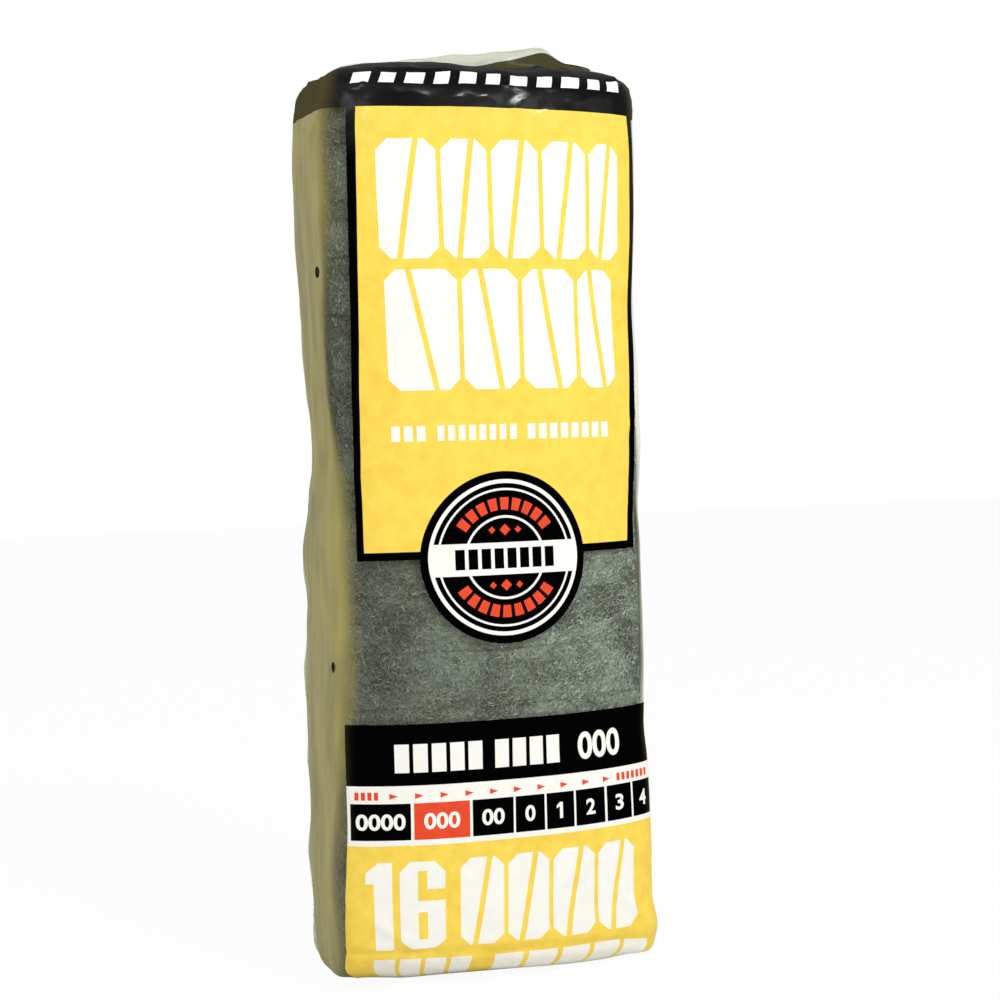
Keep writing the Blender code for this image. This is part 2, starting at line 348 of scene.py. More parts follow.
    def points(self, s: np.ndarray, h: np.ndarray, inset: float = 0.0) -> np.ndarray:
        """Where points of the sheet lie, before wrinkles.

        Args:
            s: Positions along the film.
            h: Heights up the film.
            inset: How far inside the film the points are.

        Returns:
            One row of x, y and z for each point.
        """
        lengths, turns = self.half_ruler()
        across, along = self.on_square(np.interp(np.abs(s), lengths, turns))
        across = across * np.where(s < 0.0, -1.0, 1.0)
        z = self.height_of(h)
        under = np.clip(self.under_h - h, 0.0, self.base_margin)
        x, y = self.outline(across, along, z, self.drawn_in_low(z) + under + inset)
        drop = np.where(x < 0.0, self.left_ear_drop, self.right_ear_drop)
        end = np.minimum(np.abs(x) / self.half_width, 1.0) ** self.ear_power
        z = z - drop * (1.0 - self.dome_share(z)) * end
        z = z + self.lift(x, y, z) * (1.0 - (1.0 - self.under_lift) * under / self.base_margin)
        z = z - self.toe_drop(x, y, np.maximum(z, 0.0))
        rise_share = np.clip((h - self.ridge_h) / self.flap_arc, 0.0, 1.0)
        pinch = smooth(rise_share, 0.0, self.flap_pinch)
        thin = np.clip(y - self.ridge_y, -self.flap_half, self.flap_half)
        y = np.where(h > self.ridge_h, self.ridge_y + (y - self.ridge_y) * (1 - pinch) + thin * pinch, y)
        rise = rise_share * self.flap_height(x)
        wave = self.flap_wave * rise_share * np.sin(2.0 * math.pi * x / self.flap_wave_length)
        return np.stack((x, y + self.flap_lean * rise + wave, z + rise), axis=1)

    def ring_points(self, s: np.ndarray, z: np.ndarray, inset: np.ndarray) -> np.ndarray:
        """Points of level rings inside the bag, by position along the film and height.

        Args:
            s: Positions along the film.
            z: Heights.
            inset: How far inside the film each point is.

        Returns:
            One row of x, y and z for each point.
        """
        lengths, turns = self.half_ruler()
        across, along = self.on_square(np.interp(np.abs(s), lengths, turns))
        x, y = self.outline(across * np.where(s < 0.0, -1.0, 1.0), along, z, inset)
        return np.stack((x, y, z + self.lift(x, y, z)), axis=1)

    def flap_height(self, x: np.ndarray) -> np.ndarray:
        """Height of the flap above the ridge, smooth between its stations.

        Args:
            x: Distances to the right.

        Returns:
            The height at each.
        """
        height = np.full_like(x, self.flap_stations[0][1])
        for (x0, h0), (x1, h1) in zip(self.flap_stations, self.flap_stations[1:]):
            height = np.where(x > x0, h0 + (h1 - h0) * smooth(x, x0, x1), height)
        return height


class Ink(Enum):
    """What a stretch of film carries, named as the record names its material slots."""

    CLEAR = "clear_film"
    YELLOW = "yellow_print"
    BLACK = "black_print"
    WHITE = "white_print"
    RED = "red_print"
    OPEN = "open"


@dataclass(frozen=True)
class Field:
    """One printed shape: its outlines on the flat sheet, and its ink."""

    ink: Ink
    loops: list[Loop]


def block(s0: float, h0: float, s1: float, h1: float, cut: float = 0.0) -> Loop:
    """A rectangle on the sheet, with its corners cut off where a cut is given.

    Args:
        s0: Left.
        h0: Bottom.
        s1: Right.
        h1: Top.
        cut: Length cut off each side of a corner.

    Returns:
        Its outline.
    """
    if cut <= 0.0:
        return [(s0, h0), (s1, h0), (s1, h1), (s0, h1)]
    return [
        (s0 + cut, h0), (s1 - cut, h0), (s1, h0 + cut), (s1, h1 - cut),
        (s1 - cut, h1), (s0 + cut, h1), (s0, h1 - cut), (s0, h0 + cut),
    ]


def slanted(s0: float, h0: float, s1: float, h1: float, lean: float) -> Loop:
    """A parallelogram whose top edge is moved to the right by a lean."""
    return [(s0, h0), (s1, h0), (s1 + lean, h1), (s0 + lean, h1)]


def lozenge(s: float, h: float, half_s: float, half_h: float) -> Loop:
    """A diamond standing on a corner."""
    return [(s + half_s, h), (s, h + half_h), (s - half_s, h), (s, h - half_h)]


def circle(s: float, h: float, radius: float, steps: int = 96) -> Loop:
    """A round outline."""
    return arc_points(s, h, radius, 0.0, 2.0 * math.pi, steps)[:-1]


def arc_points(s: float, h: float, radius: float, start: float, end: float, steps: int) -> Loop:
    """Points along an arc, from one angle to another."""
    angles = [start + (end - start) * i / steps for i in range(steps + 1)]
    return [(s + radius * math.cos(a), h + radius * math.sin(a)) for a in angles]


def arc_block(s: float, h: float, radii: Pair, angles: Pair) -> Loop:
    """A short block bent round a centre.

    Args:
        s: Centre along the film.
        h: Centre up the film.
        radii: Inner and outer radius.
        angles: Where the block starts and ends.

    Returns:
        Its outline.
    """
    outer = arc_points(s, h, radii[1], *angles, 5)
    inner = arc_points(s, h, radii[0], *angles, 5)
    return outer + inner[::-1]


def numerals(text: str, s0: float, h0: float, s1: float, h1: float, weight: float) -> list[Loop]:
    """Outlines of plain numerals, fitted to a box on the sheet.

    Args:
        text: The numerals.
        s0: Left of the box.
        h0: Bottom of the box.
        s1: Right of the box.
        h1: Top of the box.
        weight: How much bolder than the plain font, as a share of its size.

    Returns:
        Closed outlines, holes among them.
    """
    curve = bpy.data.curves.new("numerals", "FONT")
    curve.body = text
    curve.offset = weight
    curve.resolution_u = 5
    carrier = linked("numerals", curve)
    mesh = bpy.data.meshes.new_from_object(carrier.evaluated_get(bpy.context.evaluated_depsgraph_get()))
    bpy.data.objects.remove(carrier)
    used: dict[tuple[int, int], int] = {}
    for polygon in mesh.polygons:
        for key in polygon.edge_keys:
            used[key] = used.get(key, 0) + 1
    following: dict[int, list[int]] = {}
    for (a, b), count in used.items():
        if count == 1:
            following.setdefault(a, []).append(b)
            following.setdefault(b, []).append(a)
    loops = []
    while following:
        first = next(iter(following))
        chain, at = [first], first
        while following.get(at):
            to = following[at].pop()
            following[to].remove(at)
            chain.append(to)
            at = to
        loops.append(chain[:-1])
        following = {k: v for k, v in following.items() if v}
    corners = np.array([v.co[:2] for v in mesh.vertices])
    rim = corners[[i for chain in loops for i in chain]]
    low, size = rim.min(axis=0), np.ptp(rim, axis=0)
    bpy.data.meshes.remove(mesh)
    place = (corners - low) / size * np.array((s1 - s0, h1 - h0)) + np.array((s0, h0))
    return [[tuple(place[i]) for i in chain] for chain in loops]


@dataclass(frozen=True)
class Print:
    """The print on the film, laid out flat, in sheet coordinates."""

    around: float = 0.20  # past half the film's length, for what runs all round it
    band_low: float = 0.2868
    band_top: Stations = (
        (-0.200, 0.3240), (-0.055, 0.3240), (-0.010, 0.3256), (0.000, 0.3266), (0.008, 0.3279),
        (0.013, 0.3291), (0.022, 0.3306), (0.031, 0.3321), (0.037, 0.3335), (0.050, 0.3335),
        (0.0535, 0.3250), (0.200, 0.3240),
    )
    panel_left: Stations = (
        (-0.0456, 0.2868), (-0.0451, 0.2720), (-0.0454, 0.2560), (-0.0462, 0.2350), (-0.0469, 0.2100),
        (-0.0479, 0.1936), (-0.0484, 0.1810), (-0.0483, 0.1685), (-0.0476, 0.1600),
        (-0.0470, 0.1518), (-0.0464, 0.1436),
    )
    panel_right: Stations = (
        (0.0468, 0.1440), (0.0474, 0.1481), (0.0486, 0.1568), (0.0484, 0.1680), (0.0483, 0.1800),
        (0.0490, 0.1919), (0.0500, 0.2050), (0.0509, 0.2180), (0.0516, 0.2300), (0.0526, 0.2446),
        (0.0525, 0.2750), (0.0517, 0.2868),
    )
    mark_row: Pair = (0.2972, 0.3040)
    marks_left: float = -0.0485
    mark_widths: tuple[float, ...] = (
        0.0066, 0.0052, 0.0064, 0.0050, 0.0058, 0.0048, 0.0060, 0.0052, 0.0066, 0.0050, 0.0058,
    )
    mark_gap: float = 0.0034
    mark_lean: float = 0.0016
    border_left: Pair = (0.0022, 0.0034)  # width at the panel's bottom and top
    border_right: float = 0.0033
    border_low: float = 0.0026
    lowest: float = -0.0060  # under the bottom edge
    left_edge: Stations = (
        (-0.0541, 0.0880), (-0.0541, 0.0520), (-0.0547, 0.0400), (-0.0556, 0.0270), (-0.0562, 0.0180),
    )
    right_edge: float = 0.0575
    black_band: Pair = (0.0680, 0.0880)
    white_strip: Pair = (0.0484, 0.0680)
    grade_row: Pair = (0.0502, 0.0622)
    grades: tuple[tuple[str, float, float], ...] = (
        ("0000", -0.0530, -0.0338),
        ("000", -0.0328, -0.0147),
        ("00", -0.0138, 0.0000),
        ("0", 0.0007, 0.0107),
        ("1", 0.0114, 0.0212),
        ("2", 0.0219, 0.0331),
        ("3", 0.0340, 0.0446),
        ("4", 0.0454, 0.0552),
    )
    chosen_grade: str = "000"
    numeral_height: float = 0.0054
    numeral_pitch: float = 0.0041
    bold: float = 0.028
    badge_centre: Pair = (-0.0007, 0.1408)
    badge_radii: tuple[float, ...] = (0.0281, 0.0255, 0.0242, 0.0226, 0.0219, 0.0137, 0.0129)
    badge_strip: Pair = (0.1352, 0.1457)
    block_gap: float = 0.0016
    rows: tuple[tuple[Pair, Pair, tuple[float, ...]], ...] = (
        ((0.2380, 0.2765), (-0.0387, 0.0455), (0.23, 0.18, 0.19, 0.19, 0.15)),
        ((0.1956, 0.2345), (-0.0378, 0.0422), (0.31, 0.25, 0.25, 0.19)),
    )
    tile_cut: float = 0.0036
    slash: float = 0.0019
    slash_lean: float = 0.17  # half of how far a slash leans, as a share of its tile
    line_row: Pair = (0.1792, 0.1842)
    line_groups: Changes = ((-0.0380, -0.0268, 0.0026), (-0.0228, 0.0042, 0.0024), (0.0080, 0.0380, 0.0027))
    dash_gap: float = 0.0013
    bar_row: Pair = (0.0722, 0.0815)
    bar_groups: Changes = ((-0.0385, -0.0102, 0.0048), (-0.0060, 0.0165, 0.0045))
    beside_bars: Pair = (0.0235, 0.0408)
    numeral_gap: float = 0.0003
    arrow_count: int = 10
    arrow_left: float = -0.0405
    arrow_pitch: float = 0.00813
    arrow: Triple = (0.0028, 0.0636, 0.0656)  # length, bottom and top
    red_row: Pair = (0.0634, 0.0660)
    red_groups: Rows = (
        (-0.0515, -0.0440, 0.0012, 0.0007),
        (0.0385, 0.0530, 0.0014, 0.0008),
    )
    count_tiles: Pair = (0.0132, 0.0432)
    count_left: float = -0.0180
    count_widths: tuple[float, ...] = (0.0145, 0.0140, 0.0150, 0.0150)
    count_gap: float = 0.0015
    count_cut: float = 0.0032
    under_top: float = 0.0085
    under_groups: Rows = (
        (-0.0460, -0.0140, 0.0068, 0.0016),
        (-0.0060, 0.0500, 0.0100, 0.0018),
    )
    badge_bars: Triple = (0.0168, 0.1372, 0.1438)  # half length, bottom and top
    badge_bar: Pair = (0.0031, 0.0012)  # width and gap
    arc_radii: Pair = (0.0156, 0.0196)
    arc_count: int = 9
    arc_angles: Triple = (38.0, 13.0, 4.6)  # first, step and half width, degrees
    lozenges: Stations = ((-0.0045, 0.0012), (0.0, 0.0019), (0.0045, 0.0012))  # place and half size
    lozenge_rise: float = 0.0090
    vents: Stations = ((-0.0651, 0.2350), (-0.0599, 0.1062))
    vent_radius: float = 0.0019

    def fields(self) -> list[Field]:
        """Every printed shape, from the undermost to the uppermost, and the two round vents.

        Returns:
            The shapes in the order in which they cover each other.
        """
        vents = [circle(s, h, self.vent_radius, 16) for s, h in self.vents]
        return [
            *self.top_band(),
            *self.panel(),
            *self.lower_fields(),
            *self.badge(),
            Field(Ink.OPEN, vents),
        ]

    def top_band(self) -> list[Field]:
        """The black band that runs round the top and over its dome, with a row of white marks.

        Returns:
            The band and its marks.
        """
        low = [(self.around, self.band_low), (-self.around, self.band_low)]
        bottom, top = self.mark_row
        marks = []
        s = self.marks_left
        for width in self.mark_widths:
            marks.append(slanted(s, bottom, s + width, top, self.mark_lean))
            s += width + self.mark_gap
        return [Field(Ink.BLACK, [[*self.band_top, *low]]), Field(Ink.WHITE, marks)]

    def panel(self) -> list[Field]:
        """The yellow panel with its black border and its two rows of white blocks.

        Returns:
            Border, panel, blocks and the small line.
        """
        low_left, low_right = self.panel_left[-1], self.panel_right[0]
        ends = (low_left[1], self.panel_left[0][1])
        border = [
            *((s - float(np.interp(h, ends, self.border_left)), h) for s, h in self.panel_left[:-1]),
            (low_left[0] - self.border_left[0], low_left[1] - self.border_low),
            (low_right[0] + self.border_right, low_right[1] - self.border_low),
            *((s + self.border_right, h) for s, h in self.panel_right[1:]),
        ]
        tiles, cuts = [], []
        for lean, ((low, high), (left, right), shares) in zip((1.0, -1.0), self.rows):
            room = right - left - self.block_gap * (len(shares) - 1)
            s = left
            for share in shares:
                width = room * share / sum(shares)
                tiles.append(block(s, low, s + width, high, self.tile_cut))
                cuts.append(self.cut(s, s + width, low, high, lean))
                s += width + self.block_gap
        line = []
        for left, right, width in self.line_groups:
            line += self.dashes(left, right, *self.line_row, width, self.dash_gap)
        return [
            Field(Ink.BLACK, [border]),
            Field(Ink.YELLOW, [[*self.panel_left, *self.panel_right]]),
            Field(Ink.WHITE, tiles),
            Field(Ink.YELLOW, cuts),
            Field(Ink.WHITE, line),
        ]

    def cut(self, left: float, right: float, low: float, high: float, lean: float) -> Loop:
        """The slanted gap that divides a tile in two, from edge to edge.

        Args:
            left: The tile's left.
            right: Its right.
            low: Its bottom.
            high: Its top.
            lean: 1 where the gap leans to the right, -1 to the left.

        Returns:
            The gap's outline.
        """
        middle, shift = 0.5 * (left + right), self.slash_lean * lean * (right - left)
        half = 0.5 * self.slash
        return [
            (middle - shift - half, low), (middle - shift + half, low),
            (middle + shift + half, high), (middle + shift - half, high),
        ]

    def across_front(self, low: float, high: float) -> Loop:
        """A band of print from the left edge of the front to just round its right corner.

        Args:
            low: Its bottom.
            high: Its top.

        Returns:
            The band's outline.
        """
        levels = [h for _, h in self.left_edge if low < h < high]
        turned = list(zip(*((h, s) for s, h in reversed(self.left_edge))))
        left = [(float(np.interp(h, *turned)), h) for h in (high, *levels, low)]
        return [*left, (self.right_edge, low), (self.right_edge, high)]

    @staticmethod
    def dashes(left: float, right: float, low: float, high: float, width: float, gap: float) -> list[Loop]:
        """An even row of short upright blocks.

        Args:
            left: The row's left.
            right: Its right.
            low: Its bottom.
            high: Its top.
            width: About how wide a block is.
            gap: The gap between two blocks.

        Returns:
            The blocks' outlines.
        """
        count = round((right - left + gap) / (width + gap))
        step = (right - left + gap) / count
        return [block(left + i * step, low, left + (i + 1) * step - gap, high) for i in range(count)]

    def lower_fields(self) -> list[Field]:
        """The black band, the white strip with its grades, and the lower yellow field.

        Returns:
            The fields and what is on them.
        """
        low, high = self.black_band
        strip_low, strip_high = self.white_strip
        box_low, box_high = self.grade_row
        fields = [
            Field(Ink.BLACK, [self.across_front(low, high)]),
            Field(Ink.WHITE, [self.across_front(strip_low, strip_high)]),
            Field(Ink.YELLOW, [self.across_front(self.lowest, strip_low)]),
        ]
        bar_low, bar_high = self.bar_row
        for left, right, width in self.bar_groups:
            bars = self.dashes(left, right, bar_low, bar_high, width, self.dash_gap)
            fields.append(Field(Ink.WHITE, bars))
        left, right = self.beside_bars
        shown = numerals(self.chosen_grade, left, bar_low, right, bar_high, self.bold)
        fields.append(Field(Ink.WHITE, shown))
        middle = 0.5 * (box_low + box_high)
        for text, s0, s1 in self.grades:
            ink = Ink.RED if text == self.chosen_grade else Ink.BLACK
            fields.append(Field(ink, [block(s0, box_low, s1, box_high)]))
            half = 0.5 * self.numeral_pitch * len(text) - self.numeral_gap
            centre = 0.5 * (s0 + s1)
            low, high = middle - 0.5 * self.numeral_height, middle + 0.5 * self.numeral_height
            if text == "1":
                number = [self.small_one(centre, low, high)]
            else:
                number = numerals(text, centre - half, low, centre + half, high, self.bold)
            fields.append(Field(Ink.WHITE, number))
        length, bottom, top = self.arrow
        small = []
        for i in range(self.arrow_count):
            s = self.arrow_left + self.arrow_pitch * i
            small.append([(s, bottom), (s + length, 0.5 * (bottom + top)), (s, top)])
        for left, right, width, gap in self.red_groups:
            small += self.dashes(left, right, *self.red_row, width, gap)
        return [*fields, Field(Ink.RED, small), *self.count_row()]

    @staticmethod
    def small_one(s: float, low: float, high: float) -> Loop:
        """The scale's plain numeral one, with its flag.

        Args:
            s: Its middle.
            low: Its bottom.
            high: Its top.

        Returns:
            Its outline.
        """
        return [
            (s + 0.0008, low), (s + 0.0008, high), (s - 0.0002, high), (s - 0.0014, high - 0.0011),
            (s - 0.0014, high - 0.0020), (s - 0.0003, high - 0.0014), (s - 0.0003, low),
        ]

    def count_row(self) -> list[Field]:
        """The large white number of pads with blocks beside it, and the cut row under the fold.

        Returns:
            Numerals, blocks, gaps and the cut row.
        """
        one = [
            (-0.0400, 0.0125), (-0.0400, 0.0430), (-0.0442, 0.0430), (-0.0484, 0.0395),
            (-0.0484, 0.0360), (-0.0458, 0.0360), (-0.0458, 0.0125),
        ]
        six = [block(-0.0376, 0.0128, -0.0230, 0.0430, 0.0034)]
        six_top = block(-0.0318, 0.0300, -0.0288, 0.0400)
        six_cut = block(-0.0290, 0.0300, -0.0222, 0.0338)
        six_low = block(-0.0318, 0.0165, -0.0288, 0.0262)
        low, high = self.count_tiles
        tiles, cuts = [], []
        s = self.count_left
        for width in self.count_widths:
            tiles.append(block(s, low, s + width, high, self.count_cut))
            cuts.append(self.cut(s, s + width, low, high, 1.0))
            s += width + self.count_gap
        under = []
        for left, right, width, gap in self.under_groups:
            under += self.dashes(left, right, self.lowest, self.under_top, width, gap)
        return [
            Field(Ink.WHITE, [one, *six, *tiles]),
            Field(Ink.YELLOW, [six_top, six_low, *cuts]),
            Field(Ink.YELLOW, [six_cut]),
            Field(Ink.WHITE, under),
        ]

    def badge(self) -> list[Field]:
        """The round seal: rings, a white strip across it and small red marks.

        Returns:
            The seal, from its black rim inwards.
        """
        s, h = self.badge_centre
        inks = (Ink.BLACK, Ink.WHITE, Ink.BLACK, Ink.WHITE, Ink.BLACK, Ink.WHITE, Ink.BLACK)
        fields = [Field(ink, [circle(s, h, radius)]) for ink, radius in zip(inks, self.badge_radii)]
        reach = self.badge_radii[1]
        strip_ends = [math.asin((end - h) / reach) for end in self.badge_strip]
        right = arc_points(s, h, reach, *strip_ends, 8)
        left = [(2.0 * s - a, b) for a, b in reversed(right)]
        fields.append(Field(Ink.WHITE, [right + left]))
        reach, low, high = self.badge_bars
        fields.append(Field(Ink.BLACK, self.dashes(s - reach, s + reach, low, high, *self.badge_bar)))
        first, step, half_width = self.arc_angles
        spread = math.radians(half_width)
        marks = []
        for upward in (1.0, -1.0):
            for i in range(self.arc_count):
                angle = upward * math.radians(first + step * i)
                marks.append(arc_block(s, h, self.arc_radii, (angle - spread, angle + spread)))
            for offset, size in self.lozenges:
                marks.append(lozenge(s + offset, h + upward * self.lozenge_rise, size, size))
        fields.append(Field(Ink.RED, marks))
        return fields


def inside(points: np.ndarray, loops: Sequence[Loop]) -> np.ndarray:
    """Which points lie inside a set of closed outlines, counting holes as outside.

    Args:
        points: Sheet coordinates.
        loops: The outlines.

    Returns:
        Whether each point is inside.
    """
    found = np.zeros(len(points), bool)
    for loop in loops:
        rim = np.array(loop)
        near = np.all((points > rim.min(axis=0)) & (points < rim.max(axis=0)), axis=1)
        some = points[near]
        odd = np.zeros(len(some), bool)
        for (s0, h0), (s1, h1) in zip(rim, np.roll(rim, -1, axis=0)):
            if h0 == h1:
                continue
            crosses = (some[:, 1] > h0) != (some[:, 1] > h1)
            odd ^= crosses & (some[:, 0] < (s1 - s0) * (some[:, 1] - h0) / (h1 - h0) + s0)
        found[near] ^= odd
    return found


def vertex_normals(points: np.ndarray, faces: np.ndarray) -> np.ndarray:
    """Normals at the points of a triangle mesh, weighted by area.

    Args:
        points: The mesh's points.
        faces: Its triangles.

    Returns:
        One unit vector for each point.
    """
    a, b, c = (points[faces[:, k]] for k in range(3))
    across = np.cross(b - a, c - a)
    normals = np.zeros_like(points)
    for k in range(3):
        np.add.at(normals, faces[:, k], across)
    return normals / np.maximum(np.linalg.norm(normals, axis=1, keepdims=True), 1e-12)


def field_noise(points: np.ndarray, scale: Pair, seed: float, octaves: int = 2) -> np.ndarray:
    """Smooth noise over the sheet, about -1 to 1.

    Args:
        points: Sheet coordinates.
        scale: Size of the swells along the film and up it.
        seed: Which noise.
        octaves: How many finer layers it has.

    Returns:
        One value for each point.
    """
    return np.array([
        noise.fractal(Vector((s / scale[0], h / scale[1], seed)), 1.0, 2.0, octaves) for s, h in points
    ])


@dataclass
class FilmSheet:
    """The film: one sheet, cut into a piece for each ink and one for the clear film."""

    form: BagForm
    layout: Print
    pitch: float = 0.0017
    dome_pitch: float = 0.0015
    clearance: float = 0.00045  # grid points this near a printed outline give way to it
    thickness: float = 0.0001
    flap_levels: int = 5
    # each crease runs from one s and h to another, with its spread and its height
    creases: Rows = (
        (-0.052, 0.2930, -0.038, 0.2962, 0.0007, 0.0008),
        (-0.046, 0.2905, -0.041, 0.3030, 0.0008, 0.0007),
        (-0.041, 0.3090, -0.004, 0.3040, 0.0011, 0.0006),
        (0.004, 0.2960, 0.012, 0.3040, 0.0009, 0.0007),
        (-0.018, 0.2862, -0.010, 0.2915, 0.0030, 0.0011),
        (-0.008, 0.2885, 0.002, 0.2925, 0.0026, 0.0012),
        (0.005, 0.2850, 0.013, 0.2915, 0.0020, 0.0010),
        (0.011, 0.2812, 0.020, 0.2868, 0.0012, 0.0007),
        (0.024, 0.2880, 0.034, 0.2900, 0.0022, 0.0007),
        (-0.044, 0.2800, -0.036, 0.2850, 0.0022, 0.0007),
        (0.021, 0.3120, 0.024, 0.3270, 0.0012, 0.0008),
        (0.030, 0.3080, 0.034, 0.3260, 0.0010, 0.0007),
        (0.046, 0.3000, 0.051, 0.3120, 0.0010, 0.0007),
        (-0.030, 0.2780, -0.016, 0.2835, 0.0016, 0.0003),
        (0.036, 0.1480, 0.048, 0.1610, 0.0014, 0.0006),
        (0.040, 0.1720, 0.050, 0.1860, 0.0018, 0.0006),
        (-0.050, 0.0260, -0.030, 0.0120, 0.0016, 0.0007),
        (0.036, 0.0260, 0.052, 0.0120, 0.0020, 0.0007),
        (-0.066, 0.0120, -0.074, 0.0480, 0.0016, 0.0006),
        (-0.090, 0.0200, -0.080, 0.0600, 0.0018, 0.0006),
        (-0.062, 0.1500, -0.070, 0.1900, 0.0018, 0.0005),
        (-0.084, 0.1650, -0.078, 0.2100, 0.0020, 0.0005),
        (-0.060, 0.2760, -0.086, 0.2870, 0.0016, 0.0007),
        (-0.070, 0.2960, -0.090, 0.3030, 0.0016, 0.0008),
    )
    fold_h: Stations = ((-0.0545, 0.0118), (-0.004, 0.0101), (0.057, 0.0078))
    fold_depth: float = 0.0008
    fold_spread: float = 0.0011
    top_stretch: Pair = (0.272, 0.300)  # where the wrinkles of the top come in
    low_stretch: Pair = (0.010, 0.050)  # where those of the floor's end fade out
    broad: Pair = (0.022, 0.034)  # size of the swells, along the film and up it
    fine: Pair = (0.0085, 0.0070)
    folds: Pair = (0.0050, 0.024)
    all_over: Pair = (0.00022, 0.00005)  # depths of the broad swells and the folds
    at_top: Pair = (0.00028, 0.0005)  # of the fine ones and the broad ones
    at_floor: float = 0.00030
    at_side: float = 0.00040
    # the haze is milky film and a painted grazing sheen, both laid on the sides
    haze_and_sheen_edge: Stations = (  # how far past the front corner haze starts, by h
        (0.000, 0.007), (0.040, 0.009), (0.066, 0.002), (0.100, -0.001), (0.150, -0.001),
        (0.165, 0.002), (0.193, 0.009), (0.225, 0.007), (0.258, 0.003), (0.290, 0.004),
    )
    haze_and_sheen_spread: float = 0.0045
    haze_and_sheen_low: Triple = (0.005, 0.040, 0.080)  # spread added low down, and where it ends
    haze_and_sheen_range: Pair = (0.05, 0.90)  # in the window, and what the sides add to it
    flap_clear: float = 0.90  # how much clearer the flap is than the dome
    top_gloss: Triple = (0.22, 0.2740, 0.2860)  # amount, and where it comes in
    low_gloss: Triple = (0.05, 0.008, 0.034)  # amount, and where it fades out
    least_gloss: float = 0.006
    olive_sheen_gloss_cut: float = 0.9  # share of the gloss taken away where the olive milky film and painted sheen are
    olive_sheen_top: Triple = (0.8, 0.3170, 0.3245)  # amount, and where it comes in
    # each spot of loose film has its s, h, half width, half height and amount
    loose_spots: Rows = (
        (0.002, 0.2870, 0.023, 0.0060, 0.75),
        (-0.046, 0.2930, 0.009, 0.0080, 0.45),
        (-0.040, 0.2780, 0.010, 0.0050, 0.30),
    )
    clear_right: float = 0.006  # the right side stays clear this much further round
    flat: np.ndarray = field(default_factory=lambda: np.zeros((0, 2)))
    faces: np.ndarray = field(default_factory=lambda: np.zeros((0, 3), int))
    inks: list[Ink] = field(default_factory=list)
    solid: np.ndarray = field(default_factory=lambda: np.zeros((0, 3)))

    def lay_out(self) -> None:
        """Divide the flat sheet into triangles that follow every printed outline, and ink them."""
        form = self.form
        half = form.half_length()
        low, top = form.under_h - form.base_margin, form.top_h
        s_lines = np.linspace(-half, half, 2 * round(half / self.pitch) + 1)
        stretches = (
            (low, form.base_round, self.pitch),
            (form.base_round, form.shoulder, self.pitch),
            (form.shoulder, form.ridge_h, self.dome_pitch),
        )
        h_lines = [np.linspace(a, b, round((b - a) / step) + 1)[:-1] for a, b, step in stretches]
        h_lines.append(np.linspace(form.ridge_h, top, self.flap_levels + 1))
        grid = np.array([(s, h) for h in np.concatenate(h_lines) for s in s_lines])
        fields = self.layout.fields()
        rims, links = self.rims(fields, half, low, top)
        tree = kdtree.KDTree(len(rims))
        for i, (s, h) in enumerate(rims):
            tree.insert((s, h, 0.0), i)
        tree.balance()
        edge = (np.abs(np.abs(grid[:, 0]) - half) < 1e-9) | (grid[:, 1] <= low) | (grid[:, 1] >= top)
        free = np.array([tree.find((s, h, 0.0))[2] > self.clearance for s, h in grid])
        grid = grid[edge | free]
        corners = [Vector(p) for p in rims] + [Vector(p) for p in grid]
        laid = delaunay_2d_cdt(corners, links, [], 0, 1e-6)
        flat = np.array([tuple(p) for p in laid[0]])
        faces = np.array([f for f in laid[2] if len(f) == 3])
        a, b, c = (flat[faces[:, k]] for k in range(3))
        area = (b - a)[:, 0] * (c - a)[:, 1] - (b - a)[:, 1] * (c - a)[:, 0]
        faces = np.where(area[:, None] < 0.0, faces[:, ::-1], faces)
        faces = faces[np.abs(area) > 1e-12]
        middles = flat[faces].mean(axis=1)
        inks = np.full(len(faces), 0)
        order = list(Ink)
        for one in fields:
            inks[inside(middles, one.loops)] = order.index(one.ink)
        self.flat = flat
        self.faces, self.inks = self.sew(flat, faces, half), [order[i] for i in inks]

    def rims(
        self, fields: list[Field], half: float, low: float, top: float
    ) -> tuple[Loop, list[tuple[int, int]]]:
        """Points along every printed outline, no further apart than the grid, and the edges between them.

        Args:
            fields: The printed shapes.
            half: Half the sheet's length.
            low: The sheet's bottom edge.
            top: Its top edge.

        Returns:
            The points, and pairs of their numbers.
        """
        points: Loop = []
        links = []
        for loop in (loop for one in fields for loop in one.loops):
            first = len(points)
            kept = [(min(max(s, -half), half), min(max(h, low), top)) for s, h in loop]
            for (s0, h0), (s1, h1) in zip(kept, kept[1:] + kept[:1]):
                steps = max(1, math.ceil(math.hypot(s1 - s0, h1 - h0) / self.pitch))
                points += [(s0 + (s1 - s0) * i / steps, h0 + (h1 - h0) * i / steps) for i in range(steps)]
            count = len(points) - first
            links += [(first + i, first + (i + 1) % count) for i in range(count)]
        return points, links

    @staticmethod
    def sew(flat: np.ndarray, faces: np.ndarray, half: float) -> np.ndarray:
        """The faces with the sheet's right edge joined to its left edge, behind the bag.

        Args:
            flat: The sheet's points.
            faces: Its triangles.
            half: Half its length.

        Returns:
            The joined triangles.
        """
        left = {round(float(h), 6): i for i, (s, h) in enumerate(flat) if abs(s + half) < 1e-6}
        joined = np.arange(len(flat))
        for i, (s, h) in enumerate(flat):
            if abs(s - half) < 1e-6:
                joined[i] = left.get(round(float(h), 6), i)
        return joined[faces]

    def wrap(self) -> None:
        """Wrap the flat sheet round the bag and wrinkle it."""
        points = self.form.points(self.flat[:, 0], self.flat[:, 1])
        normals = vertex_normals(points, self.faces)
        self.solid = points + normals * self.wrinkles()[:, None]

